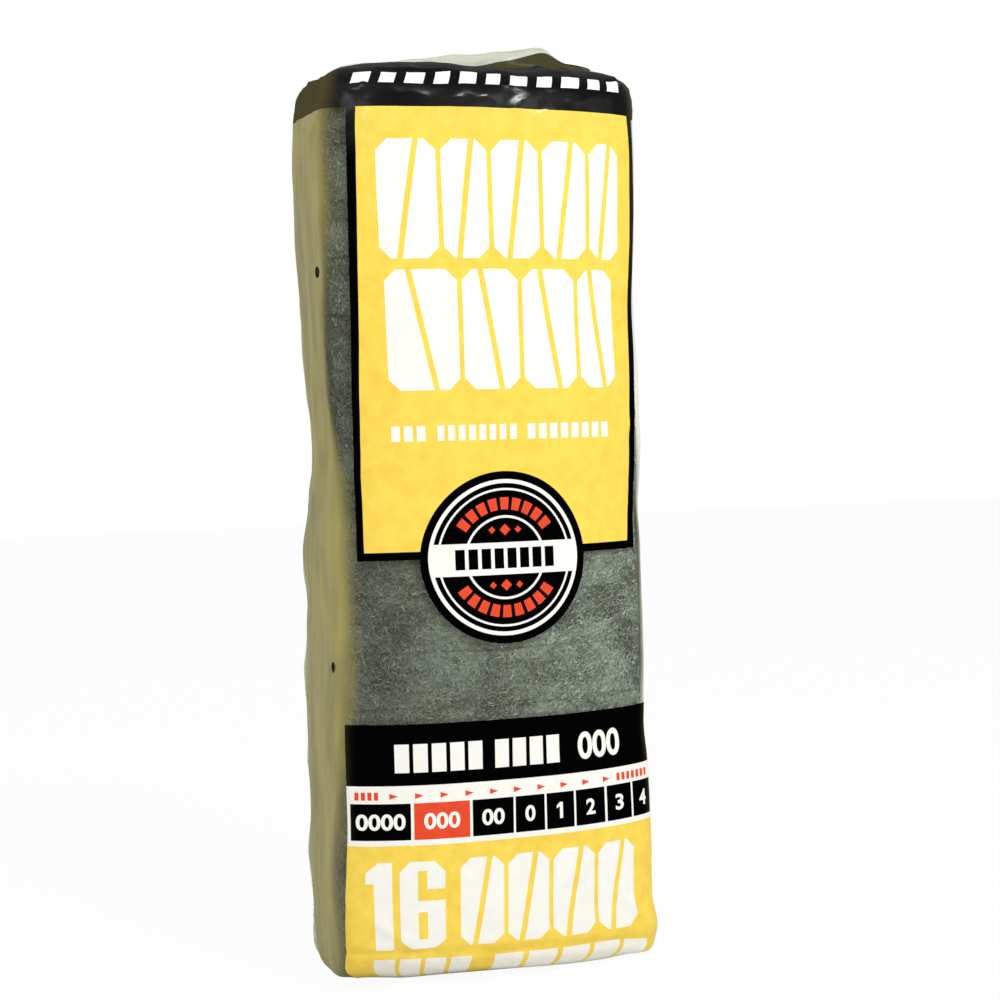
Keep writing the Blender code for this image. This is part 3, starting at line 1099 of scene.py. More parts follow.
    def wrinkles(self) -> np.ndarray:
        """How far each point of the film stands out from the smooth form.

        Returns:
            One distance for each point.
        """
        s, h = self.flat[:, 0], self.flat[:, 1]
        form = self.form
        top = smooth(h, *self.top_stretch)
        low = 1.0 - smooth(h, *self.low_stretch)
        side = smooth(np.abs(s), form.corner_s() - 0.002, form.corner_s() + 0.006)
        floor = smooth(h, form.under_h, form.base_round)
        broad = field_noise(self.flat, self.broad, 1.0)
        fine = field_noise(self.flat, self.fine, 5.0, 3)
        folds = field_noise(self.flat, self.folds, 9.0, 2)
        out = self.all_over[0] * broad + self.all_over[1] * folds
        out += top * (self.at_top[0] * fine + self.at_top[1] * broad)
        out += low * self.at_floor * fine
        out += side * self.at_side * folds
        for s0, h0, s1, h1, spread, height in self.creases:
            run, rise = s1 - s0, h1 - h0
            along = np.clip(((s - s0) * run + (h - h0) * rise) / (run**2 + rise**2), 0, 1)
            away = np.hypot(s - s0 - along * run, h - h0 - along * rise)
            ends = np.sin(math.pi * np.clip(along, 0.04, 0.96)) ** 0.6  # lower towards both ends
            out += height * np.exp(-((away / spread) ** 2)) * ends
        fold_s, fold_at = zip(*self.fold_h)
        fold = np.interp(s, fold_s, fold_at)
        front = 1.0 - smooth(np.abs(s), form.corner_s(), form.corner_s() + 0.006)
        out -= front * self.fold_depth * np.exp(-(((h - fold) / self.fold_spread) ** 2))
        return out * floor * (1.0 - smooth(h, form.ridge_h - 0.006, form.ridge_h - 0.001))

    def haze_and_sheen(self) -> np.ndarray:
        """How milky the clear film is, with a painted grazing sheen round the sides, point by point: clear in
        the window, milky round the sides.

        Returns:
            0 for clear to 1 for milky, for each point.
        """
        s, h = self.flat[:, 0], self.flat[:, 1]
        edge = np.interp(h, *zip(*self.haze_and_sheen_edge))
        more, start, end = self.haze_and_sheen_low
        spread = self.haze_and_sheen_spread + more * (1.0 - smooth(h, start, end))
        behind = np.abs(s) - self.form.corner_s() - edge - np.where(s > 0.0, self.clear_right, 0.0)
        milky = smooth(behind, -spread, spread)
        dome = smooth(h, self.form.shoulder, self.form.shoulder + 0.008)
        flap = smooth(h, self.form.ridge_h - 0.002, self.form.ridge_h + 0.001)
        least, reach = self.haze_and_sheen_range
        return np.clip((least + reach * np.maximum(milky, dome)) * (1.0 - self.flap_clear * flap), 0.0, 1.0)

    def gloss(self) -> np.ndarray:
        """How far the film's skin shines over its print: most where it is loose, round the top.

        Returns:
            The skin's share for each point.
        """
        s, h = self.flat[:, 0], self.flat[:, 1]
        top = smooth(h, *self.top_gloss[1:])
        low = 1.0 - smooth(h, *self.low_gloss[1:])
        loose = np.zeros_like(s)
        for at_s, at_h, wide, tall, amount in self.loose_spots:
            loose += amount * np.exp(-(((s - at_s) / wide) ** 2) - ((h - at_h) / tall) ** 2)
        skin = self.least_gloss + self.top_gloss[0] * top + self.low_gloss[0] * low
        return skin * (1.0 - self.olive_sheen_gloss_cut * self.olive_haze_and_sheen_share()) + loose

    def olive_haze_and_sheen_share(self) -> np.ndarray:
        """Where the black ink shows olive, as milky film with a painted grazing sheen: round the sides and
        towards the ridge.

        Returns:
            0 for black to 1 for olive, for each point.
        """
        s, h = np.abs(self.flat[:, 0]), self.flat[:, 1]
        corner = self.form.corner_s()
        amount, start, end = self.olive_sheen_top
        return np.maximum(smooth(s, corner - 0.002, corner + 0.007), amount * smooth(h, start, end))

    def close(self) -> None:
        """Close the bag's underside and the flap's top edge, each with a fan of clear triangles."""
        form = self.form
        for level, downward in ((form.under_h - form.base_margin, True), (form.top_h, False)):
            used = np.unique(self.faces)
            ring = used[np.abs(self.flat[used, 1] - level) < 1e-7]
            ring = ring[np.argsort(self.flat[ring, 0])]
            after = np.roll(ring, -1)
            pair = (after, ring) if downward else (ring, after)
            centre = np.full(len(ring), len(self.solid))
            self.solid = np.vstack((self.solid, self.solid[ring].mean(axis=0)))
            self.flat = np.vstack((self.flat, (form.half_length(), level)))
            self.faces = np.vstack((self.faces, np.stack((*pair, centre), axis=1)))
            self.inks += [Ink.CLEAR] * len(ring)

    def build(self, finishes: dict[Ink, Material]) -> dict[Ink, Object]:
        """One thin piece of film for each ink.

        Args:
            finishes: The material of each ink.

        Returns:
            The piece of each ink, with the clear film first.
        """
        self.lay_out()
        self.wrap()
        self.close()
        faces = self.faces
        inks = np.array([ink.value for ink in self.inks])
        normals = vertex_normals(self.solid, faces)
        # haze and side carry a painted grazing sheen as well as the film's milkiness
        values = {"haze_and_sheen": self.haze_and_sheen(), "gloss": self.gloss(), "side": self.olive_haze_and_sheen_share()}
        pieces = {}
        for ink in Ink:
            if ink is not Ink.OPEN:
                pieces[ink] = self.piece(ink, faces[inks == ink.value], normals, values)
                pieces[ink].data.materials.append(finishes[ink])
        return pieces

    def piece(
        self, ink: Ink, faces: np.ndarray, normals: np.ndarray, values: dict[str, np.ndarray]
    ) -> Object:
        """A closed thin sheet: its outside, its inside and the edges between them.

        Args:
            ink: What the sheet carries.
            faces: The outside's triangles.
            normals: The normal of every point of the film.
            values: What else is stored point by point, by name.

        Returns:
            The piece, without its finish.
        """
        used, local = np.unique(faces, return_inverse=True)
        local = local.reshape(-1, 3)
        outer, normal = self.solid[used], normals[used]
        count = len(used)
        points = np.concatenate((outer, outer - normal * self.thickness))
        sides = np.concatenate([local[:, [0, 1]], local[:, [1, 2]], local[:, [2, 0]]])
        keys = {(int(a), int(b)) for a, b in sides}
        rim = np.array([(a, b) for a, b in keys if (b, a) not in keys]).reshape(-1, 2)
        rim = rim[np.lexsort((rim[:, 1], rim[:, 0]))]
        a, b = rim[:, 0], rim[:, 1]
        walls = np.concatenate((np.stack((b, a, a + count), 1), np.stack((b, a + count, b + count), 1)))
        shell = np.concatenate((local, local[:, ::-1] + count, walls))
        mesh = bpy.data.meshes.new(f"{ink.value}_sheet")
        mesh.from_pydata(points.tolist(), [], shell.tolist())
        around = np.concatenate((normal, -normal))
        loops = around[shell.reshape(-1)]
        corners = points[walls]
        level = np.cross(corners[:, 1] - corners[:, 0], corners[:, 2] - corners[:, 0])
        level /= np.maximum(np.linalg.norm(level, axis=1, keepdims=True), 1e-12)
        loops[-3 * len(walls):] = np.repeat(level, 3, axis=0)
        mesh.shade_smooth()
        mesh.normals_split_custom_set(loops.tolist())
        for name, value in values.items():
            stored = mesh.attributes.new(name, "FLOAT", "POINT")
            stored.data.foreach_set("value", np.tile(value[used], 2).astype(np.float32))
        return linked(f"{ink.value}_sheet", mesh)


def linked(name: str, data: ID) -> Object:
    """A new object of the scene for a mesh, a text, a camera or a lamp.

    Args:
        name: The object's name.
        data: What it holds.

    Returns:
        The object.
    """
    holder = bpy.data.objects.new(name, data)
    bpy.context.scene.collection.objects.link(holder)
    return holder


def node(tree: NodeTree, kind: str, values: Values | None = None, **settings: object) -> Node:
    """A new node, with its settings made and its inputs fed.

    Args:
        tree: The node tree.
        kind: The node's type, as Blender names it.
        values: A socket or a plain value for each input, by name or number.
        settings: The node's own settings.

    Returns:
        The node.
    """
    made = tree.nodes.new(kind)
    for name, setting in settings.items():
        setattr(made, name, setting)
    for key, value in (values or {}).items():
        if isinstance(value, NodeSocket):
            tree.links.new(value, made.inputs[key])
        else:
            made.inputs[key].default_value = value
    return made


def new_material(name: str) -> tuple[Material, NodeTree, Node]:
    """A material with an empty tree but for its output.

    Args:
        name: The material's name.

    Returns:
        The material, its node tree and its output node.
    """
    material = bpy.data.materials.new(name)
    material.use_nodes = True
    tree = material.node_tree
    tree.nodes.clear()
    return material, tree, tree.nodes.new("ShaderNodeOutputMaterial")


@dataclass(frozen=True)
class Pattern:
    """Procedural noise in a piece's own coordinates, stretched along its axes."""

    scale: float
    stretch: Triple = (1.0, 1.0, 1.0)
    detail: float = 3.0
    distortion: float = 0.0

    def add(self, tree: NodeTree) -> NodeSocket:
        """The pattern's value, about 0 to 1, as a socket of a tree.

        Args:
            tree: The node tree.

        Returns:
            The socket.
        """
        place = node(tree, "ShaderNodeTexCoord").outputs["Object"]
        mapped = node(tree, "ShaderNodeMapping", {"Vector": place, "Scale": self.stretch}).outputs["Vector"]
        values = {"Vector": mapped, "Scale": self.scale, "Detail": self.detail, "Distortion": self.distortion}
        return node(tree, "ShaderNodeTexNoise", values).outputs["Fac"]


def ramp(tree: NodeTree, factor: NodeSocket, stops: Iterable[tuple]) -> NodeSocket:
    """A colour ramp fed by a factor.

    Args:
        tree: The node tree.
        factor: The ramp's input.
        stops: Position and colour of each stop.

    Returns:
        The ramp's colour.
    """
    made = node(tree, "ShaderNodeValToRGB", {"Fac": factor})
    elements = made.color_ramp.elements
    stops = list(stops)
    for element, (position, colour) in zip(elements, (stops[0], stops[-1])):
        element.position = position
        element.color = (*colour, 1.0)
    for position, colour in stops[1:-1]:
        elements.new(position).color = (*colour, 1.0)
    return made.outputs["Color"]


def arithmetic(tree: NodeTree, operation: str, *values: NodeSocket | float) -> NodeSocket:
    """A Math node of a tree, fed by sockets or plain numbers.

    Args:
        tree: The node tree.
        operation: What it does, as Blender names it.
        values: What its inputs get.

    Returns:
        Its value.
    """
    return node(tree, "ShaderNodeMath", dict(enumerate(values)), operation=operation).outputs["Value"]


def mixed(
    tree: NodeTree,
    factor: NodeSocket,
    first: NodeSocket | Triple,
    second: NodeSocket | Triple,
) -> NodeSocket:
    """Two colours mixed by a factor.

    Args:
        tree: The node tree.
        factor: 0 for the first colour, 1 for the second.
        first: A colour or a socket that carries one.
        second: The same.

    Returns:
        The mixed colour.
    """
    first, second = (c if isinstance(c, NodeSocket) else (*c, 1.0) for c in (first, second))
    return node(tree, "ShaderNodeMix", {0: factor, 6: first, 7: second}, data_type="RGBA").outputs[2]


def stored(tree: NodeTree, name: str) -> NodeSocket:
    """The value that a piece stores point by point under a name.

    Args:
        tree: The node tree.
        name: The attribute's name.

    Returns:
        The value.
    """
    return node(tree, "ShaderNodeAttribute", attribute_name=name).outputs["Fac"]


def bump(tree: NodeTree, height: NodeSocket, distance: float, strength: float) -> NodeSocket:
    """A normal tilted by a height.

    Args:
        tree: The node tree.
        height: The height, as a socket.
        distance: How far 1 stands out.
        strength: The share of it used.

    Returns:
        The normal.
    """
    values = {"Distance": distance, "Strength": strength, "Height": height}
    return node(tree, "ShaderNodeBump", values).outputs["Normal"]


@dataclass(frozen=True)
class InkFinish:
    """Film printed on its inside: an even ink under a glossy skin, mottled with painted shade."""

    colour: Triple
    # painted shade: the ink's colour in the mottle's darker patches, for the wool's bumps under the film
    painted_mottle_shade: Triple
    # olive: milky film with a painted grazing sheen over the black ink
    olive_haze_and_sheen: Triple | None = None  # where the film turns round to the sides
    roughness: float = 0.30
    specular: float = 0.04
    mottle: Pattern = Pattern(210.0, detail=4.0)
    through_film: Pattern = Pattern(420.0, detail=3.0)
    pressed_depth: float = 0.00025
    pressed_strength: float = 0.35
    coat_roughness: float = 0.22
    crumple: Pattern = Pattern(95.0, (1.0, 1.0, 1.3), 1.0, 0.8)
    crumple_depth: float = 0.0006
    crumple_strength: float = 0.55

    def make(self, name: str) -> Material:
        """The material under a name.

        Args:
            name: The material's name.

        Returns:
            The material.
        """
        material, tree, output = new_material(name)
        # the mottle paints shade of the wool's bumps into the ink's colour
        colour = ramp(tree, self.mottle.add(tree), ((0.30, self.painted_mottle_shade), (0.62, self.colour)))
        # the side attribute mixes in the olive of milky film and painted grazing sheen
        if self.olive_haze_and_sheen:
            colour = mixed(tree, stored(tree, "side"), colour, self.olive_haze_and_sheen)
        shader = node(tree, "ShaderNodeBsdfPrincipled", {
            "Base Color": colour,
            "Roughness": self.roughness,
            "Specular IOR Level": self.specular,
            "Normal": bump(tree, self.through_film.add(tree), self.pressed_depth, self.pressed_strength),
            "Coat Weight": stored(tree, "gloss"),
            "Coat Roughness": self.coat_roughness,
            "Coat Normal": bump(tree, self.crumple.add(tree), self.crumple_depth, self.crumple_strength),
        })
        tree.links.new(shader.outputs["BSDF"], output.inputs["Surface"])
        return material


@dataclass(frozen=True)
class ClearFinish:
    """Clear glossy film that turns milky and khaki where its stored milkiness rises, the khaki partly a
    painted grazing sheen.
    """

    # khaki milk: milky film, with the straw sheen it shows at grazing angles painted in
    pale: Triple = (0.440, 0.385, 0.128)
    deep: Triple = (0.318, 0.282, 0.104)
    tint: Triple = (0.985, 0.990, 0.975)
    mottle: Pattern = Pattern(60.0, (1.6, 1.6, 0.45), 5.0, 1.0)
    # painted light and shade: upright streaks in the milk, for the film's upright wrinkles
    streaks: Pattern = Pattern(210.0, (1.0, 1.0, 0.12), 2.0)
    wrinkle_light_range: Pair = (0.3, 0.85)  # how much the streaks vary the haze, and its least share
    gloss_roughness: float = 0.14
    gloss_share: float = 0.22
    index: float = 1.38
    milk_roughness: float = 0.5
    milk_specular: float = 0.15

    def make(self, name: str) -> Material:
        """The material under a name.

        Args:
            name: The material's name.

        Returns:
            The material.
        """
        material, tree, output = new_material(name)
        facing = arithmetic(tree, "SUBTRACT", 1.0, node(tree, "ShaderNodeNewGeometry").outputs["Backfacing"])
        # the streaks paint light and shade of upright wrinkles into the milkiness
        streaks = arithmetic(tree, "MULTIPLY_ADD", self.streaks.add(tree), *self.wrinkle_light_range)
        veil = arithmetic(tree, "MULTIPLY", stored(tree, "haze_and_sheen"), streaks)
        veil = arithmetic(tree, "MULTIPLY", veil, facing)
        milk_and_sheen = node(tree, "ShaderNodeBsdfPrincipled", {
            "Base Color": ramp(tree, self.mottle.add(tree), ((0.32, self.deep), (0.60, self.pale))),
            "Roughness": self.milk_roughness,
            "Specular IOR Level": self.milk_specular,
        }).outputs["BSDF"]
        clear = node(tree, "ShaderNodeBsdfTransparent", {"Color": (*self.tint, 1.0)}).outputs["BSDF"]
        veiled = node(tree, "ShaderNodeMixShader", {"Fac": veil, 1: clear, 2: milk_and_sheen}).outputs["Shader"]
        gloss = node(tree, "ShaderNodeBsdfGlossy", {"Roughness": self.gloss_roughness}).outputs["BSDF"]
        fresnel = node(tree, "ShaderNodeFresnel", {"IOR": self.index}).outputs["Fac"]
        shine = arithmetic(tree, "MULTIPLY", fresnel, self.gloss_share)
        shine = arithmetic(tree, "MULTIPLY", shine, facing)
        glossy = node(tree, "ShaderNodeMixShader", {"Fac": shine, 1: veiled, 2: gloss}).outputs["Shader"]
        tree.links.new(glossy, output.inputs["Surface"])
        return material


@dataclass(frozen=True)
class WoolFinish:
    """Matted fine steel fibres: a dark mat with painted shade in its hollows, and loose fibres brighter by
    their shade attribute, the brightest of them painted glints.
    """

    # painted shade: the near-black colour of the mat's hollows, where the tangle is low
    painted_hollow_shade: Triple = (0.014, 0.018, 0.016)
    mat: Triple = (0.300, 0.362, 0.325)
    dull: Triple = (0.070, 0.088, 0.076)
    # painted glint: the near-white colour of the loose fibres with the highest shade
    painted_glint: Triple = (0.92, 0.96, 0.88)
    # painted light: the wool's colour is scaled from the first share at the left x to the second at the right
    painted_light_x: Pair = (-0.045, 0.035)
    painted_light_range: Pair = (0.78, 1.66)
    mat_shade: float = 0.01  # the mat's shade is below this, and every fibre's is above it
    cloud_range: Pair = (0.7, -0.35)  # how much the cloud varies the mat, and what it adds at least
    metallic: float = 0.35
    roughness: float = 0.42
    tangle_depth: float = 0.0006
    tangle_strength: float = 0.8
    tangle: Pattern = Pattern(1700.0, (1.0, 1.0, 1.0), 2.0, 1.6)
    cloud: Pattern = Pattern(55.0, (1.0, 1.0, 1.6), 3.0)

    def make(self, name: str) -> Material:
        """The material under a name.

        Args:
            name: The material's name.

        Returns:
            The material.
        """
        material, tree, output = new_material(name)
        shade, tangle = stored(tree, "shade"), self.tangle.add(tree)
        cloud = arithmetic(tree, "MULTIPLY_ADD", self.cloud.add(tree), *self.cloud_range)
        # the mat goes to painted shade where the tangle, which also makes its bump, is low
        matted = ramp(tree, arithmetic(tree, "ADD", tangle, cloud), ((0.38, self.painted_hollow_shade), (0.62, self.mat)))
        # loose fibres run from dull to near white by their random shade; the near-white end is painted glint
        loose = ramp(tree, shade, ((0.05, self.dull), (0.75, self.mat), (1.0, self.painted_glint)))
        is_fibre = arithmetic(tree, "GREATER_THAN", shade, self.mat_shade)
        # the colour is scaled by painted light, paler towards the right
        values = {0: mixed(tree, is_fibre, matted, loose), "Scale": self.through_film(tree)}
        shader = node(tree, "ShaderNodeBsdfPrincipled", {
            "Base Color": node(tree, "ShaderNodeVectorMath", values, operation="SCALE").outputs["Vector"],
            "Metallic": self.metallic,
            "Roughness": self.roughness,
            "Normal": bump(tree, tangle, self.tangle_depth, self.tangle_strength),
        })
        tree.links.new(shader.outputs["BSDF"], output.inputs["Surface"])
        return material

    def through_film(self, tree: NodeTree) -> NodeSocket:
        """Painted light on the wool: its colour scaled from darker at the left to paler at the right.

        Args:
            tree: The node tree.

        Returns:
            The factor on its colour.
        """
        place = node(tree, "ShaderNodeTexCoord").outputs["Object"]
        across = node(tree, "ShaderNodeSeparateXYZ", {"Vector": place}).outputs["X"]
        sockets = ("From Min", "From Max", "To Min", "To Max")
        values = dict(zip(sockets, (*self.painted_light_x, *self.painted_light_range)))
        return node(tree, "ShaderNodeMapRange", {"Value": across, **values}).outputs["Result"]


RANDOM_SOCKETS: dict[str, tuple[int, int, int]] = {  # least, most and value, by kind
    "FLOAT_VECTOR": (0, 1, 0),
    "FLOAT": (2, 3, 1),
    "INT": (4, 5, 2),
}


@dataclass
class FibreTree:
    """Geometry Nodes that scatter short fibres over a pad and join them to it."""

    name: str = "loose_fibres"
    segments: int = 1  # each fibre is one straight ribbon, to stay within the limit on triangles
    shapes: tuple[tuple[Triple, ...], ...] = (
        ((-0.5, 0.0, 0.0), (-0.2, 0.22, 0.02), (0.2, 0.22, 0.02), (0.5, 0.0, 0.0)),
        ((-0.5, -0.1, 0.0), (-0.1, 0.28, 0.03), (0.1, -0.28, 0.02), (0.5, 0.1, 0.0)),
        ((-0.35, 0.0, 0.0), (0.1, 0.45, 0.03), (0.5, 0.25, 0.02), (0.35, -0.05, 0.0)),
    )  # start, two handles and end, in fibre lengths; the handles turn a ribbon's ends
    ribbon_tilt: float = 0.35  # a ribbon's half width is 0.5 across and this much up
    roll: float = 0.12
    least_size: Triple = (0.35, 0.15, 0.8)
    most_size: Triple = (1.35, 1.2, 1.2)
    least_rise: float = 0.15
    least_shade: float = 0.02  # above 0, which marks the mat under the fibres

    def make(self) -> NodeTree:
        """The node group, with its sizes as inputs.

        Returns:
            The group.
        """
        tree = bpy.data.node_groups.new(self.name, "GeometryNodeTree")
        sizes = ("Fibres per square metre", "Fibre length", "Fibre width", "Lean", "Lean spread", "Lift")
        inputs = {"Pad": "Geometry", **dict.fromkeys(sizes, "Float"), "Seed": "Int", "Finish": "Material"}
        given = opened(tree, inputs, "Wool")
        points, normal = self.scatter(tree, given)
        placed = self.place(tree, given, points, normal, self.fibres(tree, given))
        join = node(tree, "GeometryNodeJoinGeometry", {"Geometry": placed})
        tree.links.new(given["Pad"], join.inputs["Geometry"])
        real = node(tree, "GeometryNodeRealizeInstances", {"Geometry": join.outputs["Geometry"]})
        values = {"Geometry": real.outputs["Geometry"], "Material": given["Finish"]}
        dressed = node(tree, "GeometryNodeSetMaterial", values)
        node(tree, "NodeGroupOutput", {"Wool": dressed.outputs["Geometry"]})
        return tree

    @staticmethod
    def scatter(tree: NodeTree, given: Sockets) -> tuple:
        """Points spread over the pad as thickly as its fuzz attribute says, and their normals.

        Args:
            tree: The node tree.
            given: The group's inputs.

        Returns:
            Points and normals.
        """
        fuzz = node(tree, "GeometryNodeInputNamedAttribute", {"Name": "fuzz"}, data_type="FLOAT")
        density = arithmetic(tree, "MULTIPLY", fuzz.outputs["Attribute"], given["Fibres per square metre"])
        values = {"Mesh": given["Pad"], "Density": density, "Seed": given["Seed"]}
        spread = node(tree, "GeometryNodeDistributePointsOnFaces", values, distribute_method="RANDOM")
        return spread.outputs["Points"], spread.outputs["Normal"]

    @staticmethod
    def scaled(tree: NodeTree, by: NodeSocket, x: float, y: float, z: float) -> NodeSocket:
        """A vector of three shares of one length.

        Args:
            tree: The node tree.
            by: The length.
            x: Share along x.
            y: Share along y.
            z: Share along z.

        Returns:
            The vector.
        """
        values = {0: (x, y, z), "Scale": by}
        return node(tree, "ShaderNodeVectorMath", values, operation="SCALE").outputs["Vector"]

    def fibres(self, tree: NodeTree, given: Sockets) -> NodeSocket:
        """Three fibres, each with its own slant, as instances to pick from.

        Args:
            tree: The node tree.
            given: The group's inputs.

        Returns:
            The three instances.
        """
        together = tree.nodes.new("GeometryNodeJoinGeometry")
        for shape in self.shapes:
            corners = zip(("Start", "Start Handle", "End Handle", "End"), shape)
            values = {socket: self.scaled(tree, given["Fibre length"], *corner) for socket, corner in corners}
            values["Resolution"] = self.segments
            bend = node(tree, "GeometryNodeCurvePrimitiveBezierSegment", values)
            ends = (("Start", -1.0), ("End", 1.0))
            tilt, width = self.ribbon_tilt, given["Fibre width"]
            values = {socket: self.scaled(tree, width, way * 0.5, way * tilt, 0.0) for socket, way in ends}
            edge = node(tree, "GeometryNodeCurvePrimitiveLine", values)
            values = {"Curve": bend.outputs["Curve"], "Profile Curve": edge.outputs["Curve"]}
            ribbon = node(tree, "GeometryNodeCurveToMesh", values)
            one = node(tree, "GeometryNodeGeometryToInstance", {"Geometry": ribbon.outputs["Mesh"]})
            tree.links.new(one.outputs["Instances"], together.inputs["Geometry"])
        return together.outputs["Geometry"]

    @staticmethod
    def random(
        tree: NodeTree, seed: NodeSocket, kind: str, offset: int, least: object, most: object
    ) -> NodeSocket:
        """A random value for each fibre.

        Args:
            tree: The node tree.
            seed: The group's seed.
            kind: What the value is, as Blender names it.
            offset: Added to the seed, and different for each use.
            least: The least value, plain or a socket.
            most: The most.

        Returns:
            The value.
        """
        low, high, out = RANDOM_SOCKETS[kind]
        values = {"Seed": arithmetic(tree, "ADD", seed, float(offset)), low: least, high: most}
        return node(tree, "FunctionNodeRandomValue", values, data_type=kind).outputs[out]

    def place(
        self,
        tree: NodeTree,
        given: Sockets,
        points: NodeSocket,
        normal: NodeSocket,
        fibres: NodeSocket,
    ) -> NodeSocket:
        """A fibre at each point: laid flat, leaning about one way, of its own size and shade.

        Args:
            tree: The node tree.
            given: The group's inputs.
            points: Where the fibres go.
            normal: The pad's normal there.
            fibres: What to pick from.

        Returns:
            The placed fibres.
        """
        seed = given["Seed"]
        upright = node(tree, "FunctionNodeAlignRotationToVector", {"Vector": normal}, axis="Z")
        values = {"Rotation": upright.outputs["Rotation"], "Vector": (0.0, 0.0, 1.0)}
        level = node(tree, "FunctionNodeAlignRotationToVector", values, axis="X", pivot_axis="Z")
        leans = [arithmetic(tree, way, given["Lean"], given["Lean spread"]) for way in ("SUBTRACT", "ADD")]
        turn = self.random(tree, seed, "FLOAT", 11, *leans)
        roll = self.random(tree, seed, "FLOAT", 23, -self.roll, self.roll)
        angles = node(tree, "ShaderNodeCombineXYZ", {"X": roll, "Z": turn})
        spin = node(tree, "FunctionNodeEulerToRotation", {"Euler": angles.outputs["Vector"]})
        values = {"Rotation": level.outputs["Rotation"], "Rotate By": spin.outputs["Rotation"]}
        turned = node(tree, "FunctionNodeRotateRotation", values, rotation_space="LOCAL")
        laid = node(tree, "GeometryNodeInstanceOnPoints", {
            "Points": points,
            "Instance": fibres,
            "Pick Instance": True,
            "Instance Index": self.random(tree, seed, "INT", 41, 0, len(self.shapes) - 1),
            "Rotation": turned.outputs["Rotation"],
            "Scale": self.random(tree, seed, "FLOAT_VECTOR", 37, self.least_size, self.most_size),
        })
        rise = self.random(tree, seed, "FLOAT_VECTOR", 53, (0.0, 0.0, self.least_rise), (0.0, 0.0, 1.0))
        lifted = node(tree, "ShaderNodeVectorMath", {0: rise, "Scale": given["Lift"]}, operation="SCALE")
        raised = node(tree, "GeometryNodeTranslateInstances", {
            "Instances": laid.outputs["Instances"],
            "Translation": lifted.outputs["Vector"],
            "Local Space": True,
        })
        shade = self.random(tree, seed, "FLOAT", 67, self.least_shade, 1.0)
        values = {"Geometry": raised.outputs["Instances"], "Name": "shade", "Value": shade}
        kept = node(tree, "GeometryNodeStoreNamedAttribute", values, data_type="FLOAT", domain="INSTANCE")
        return kept.outputs["Geometry"]


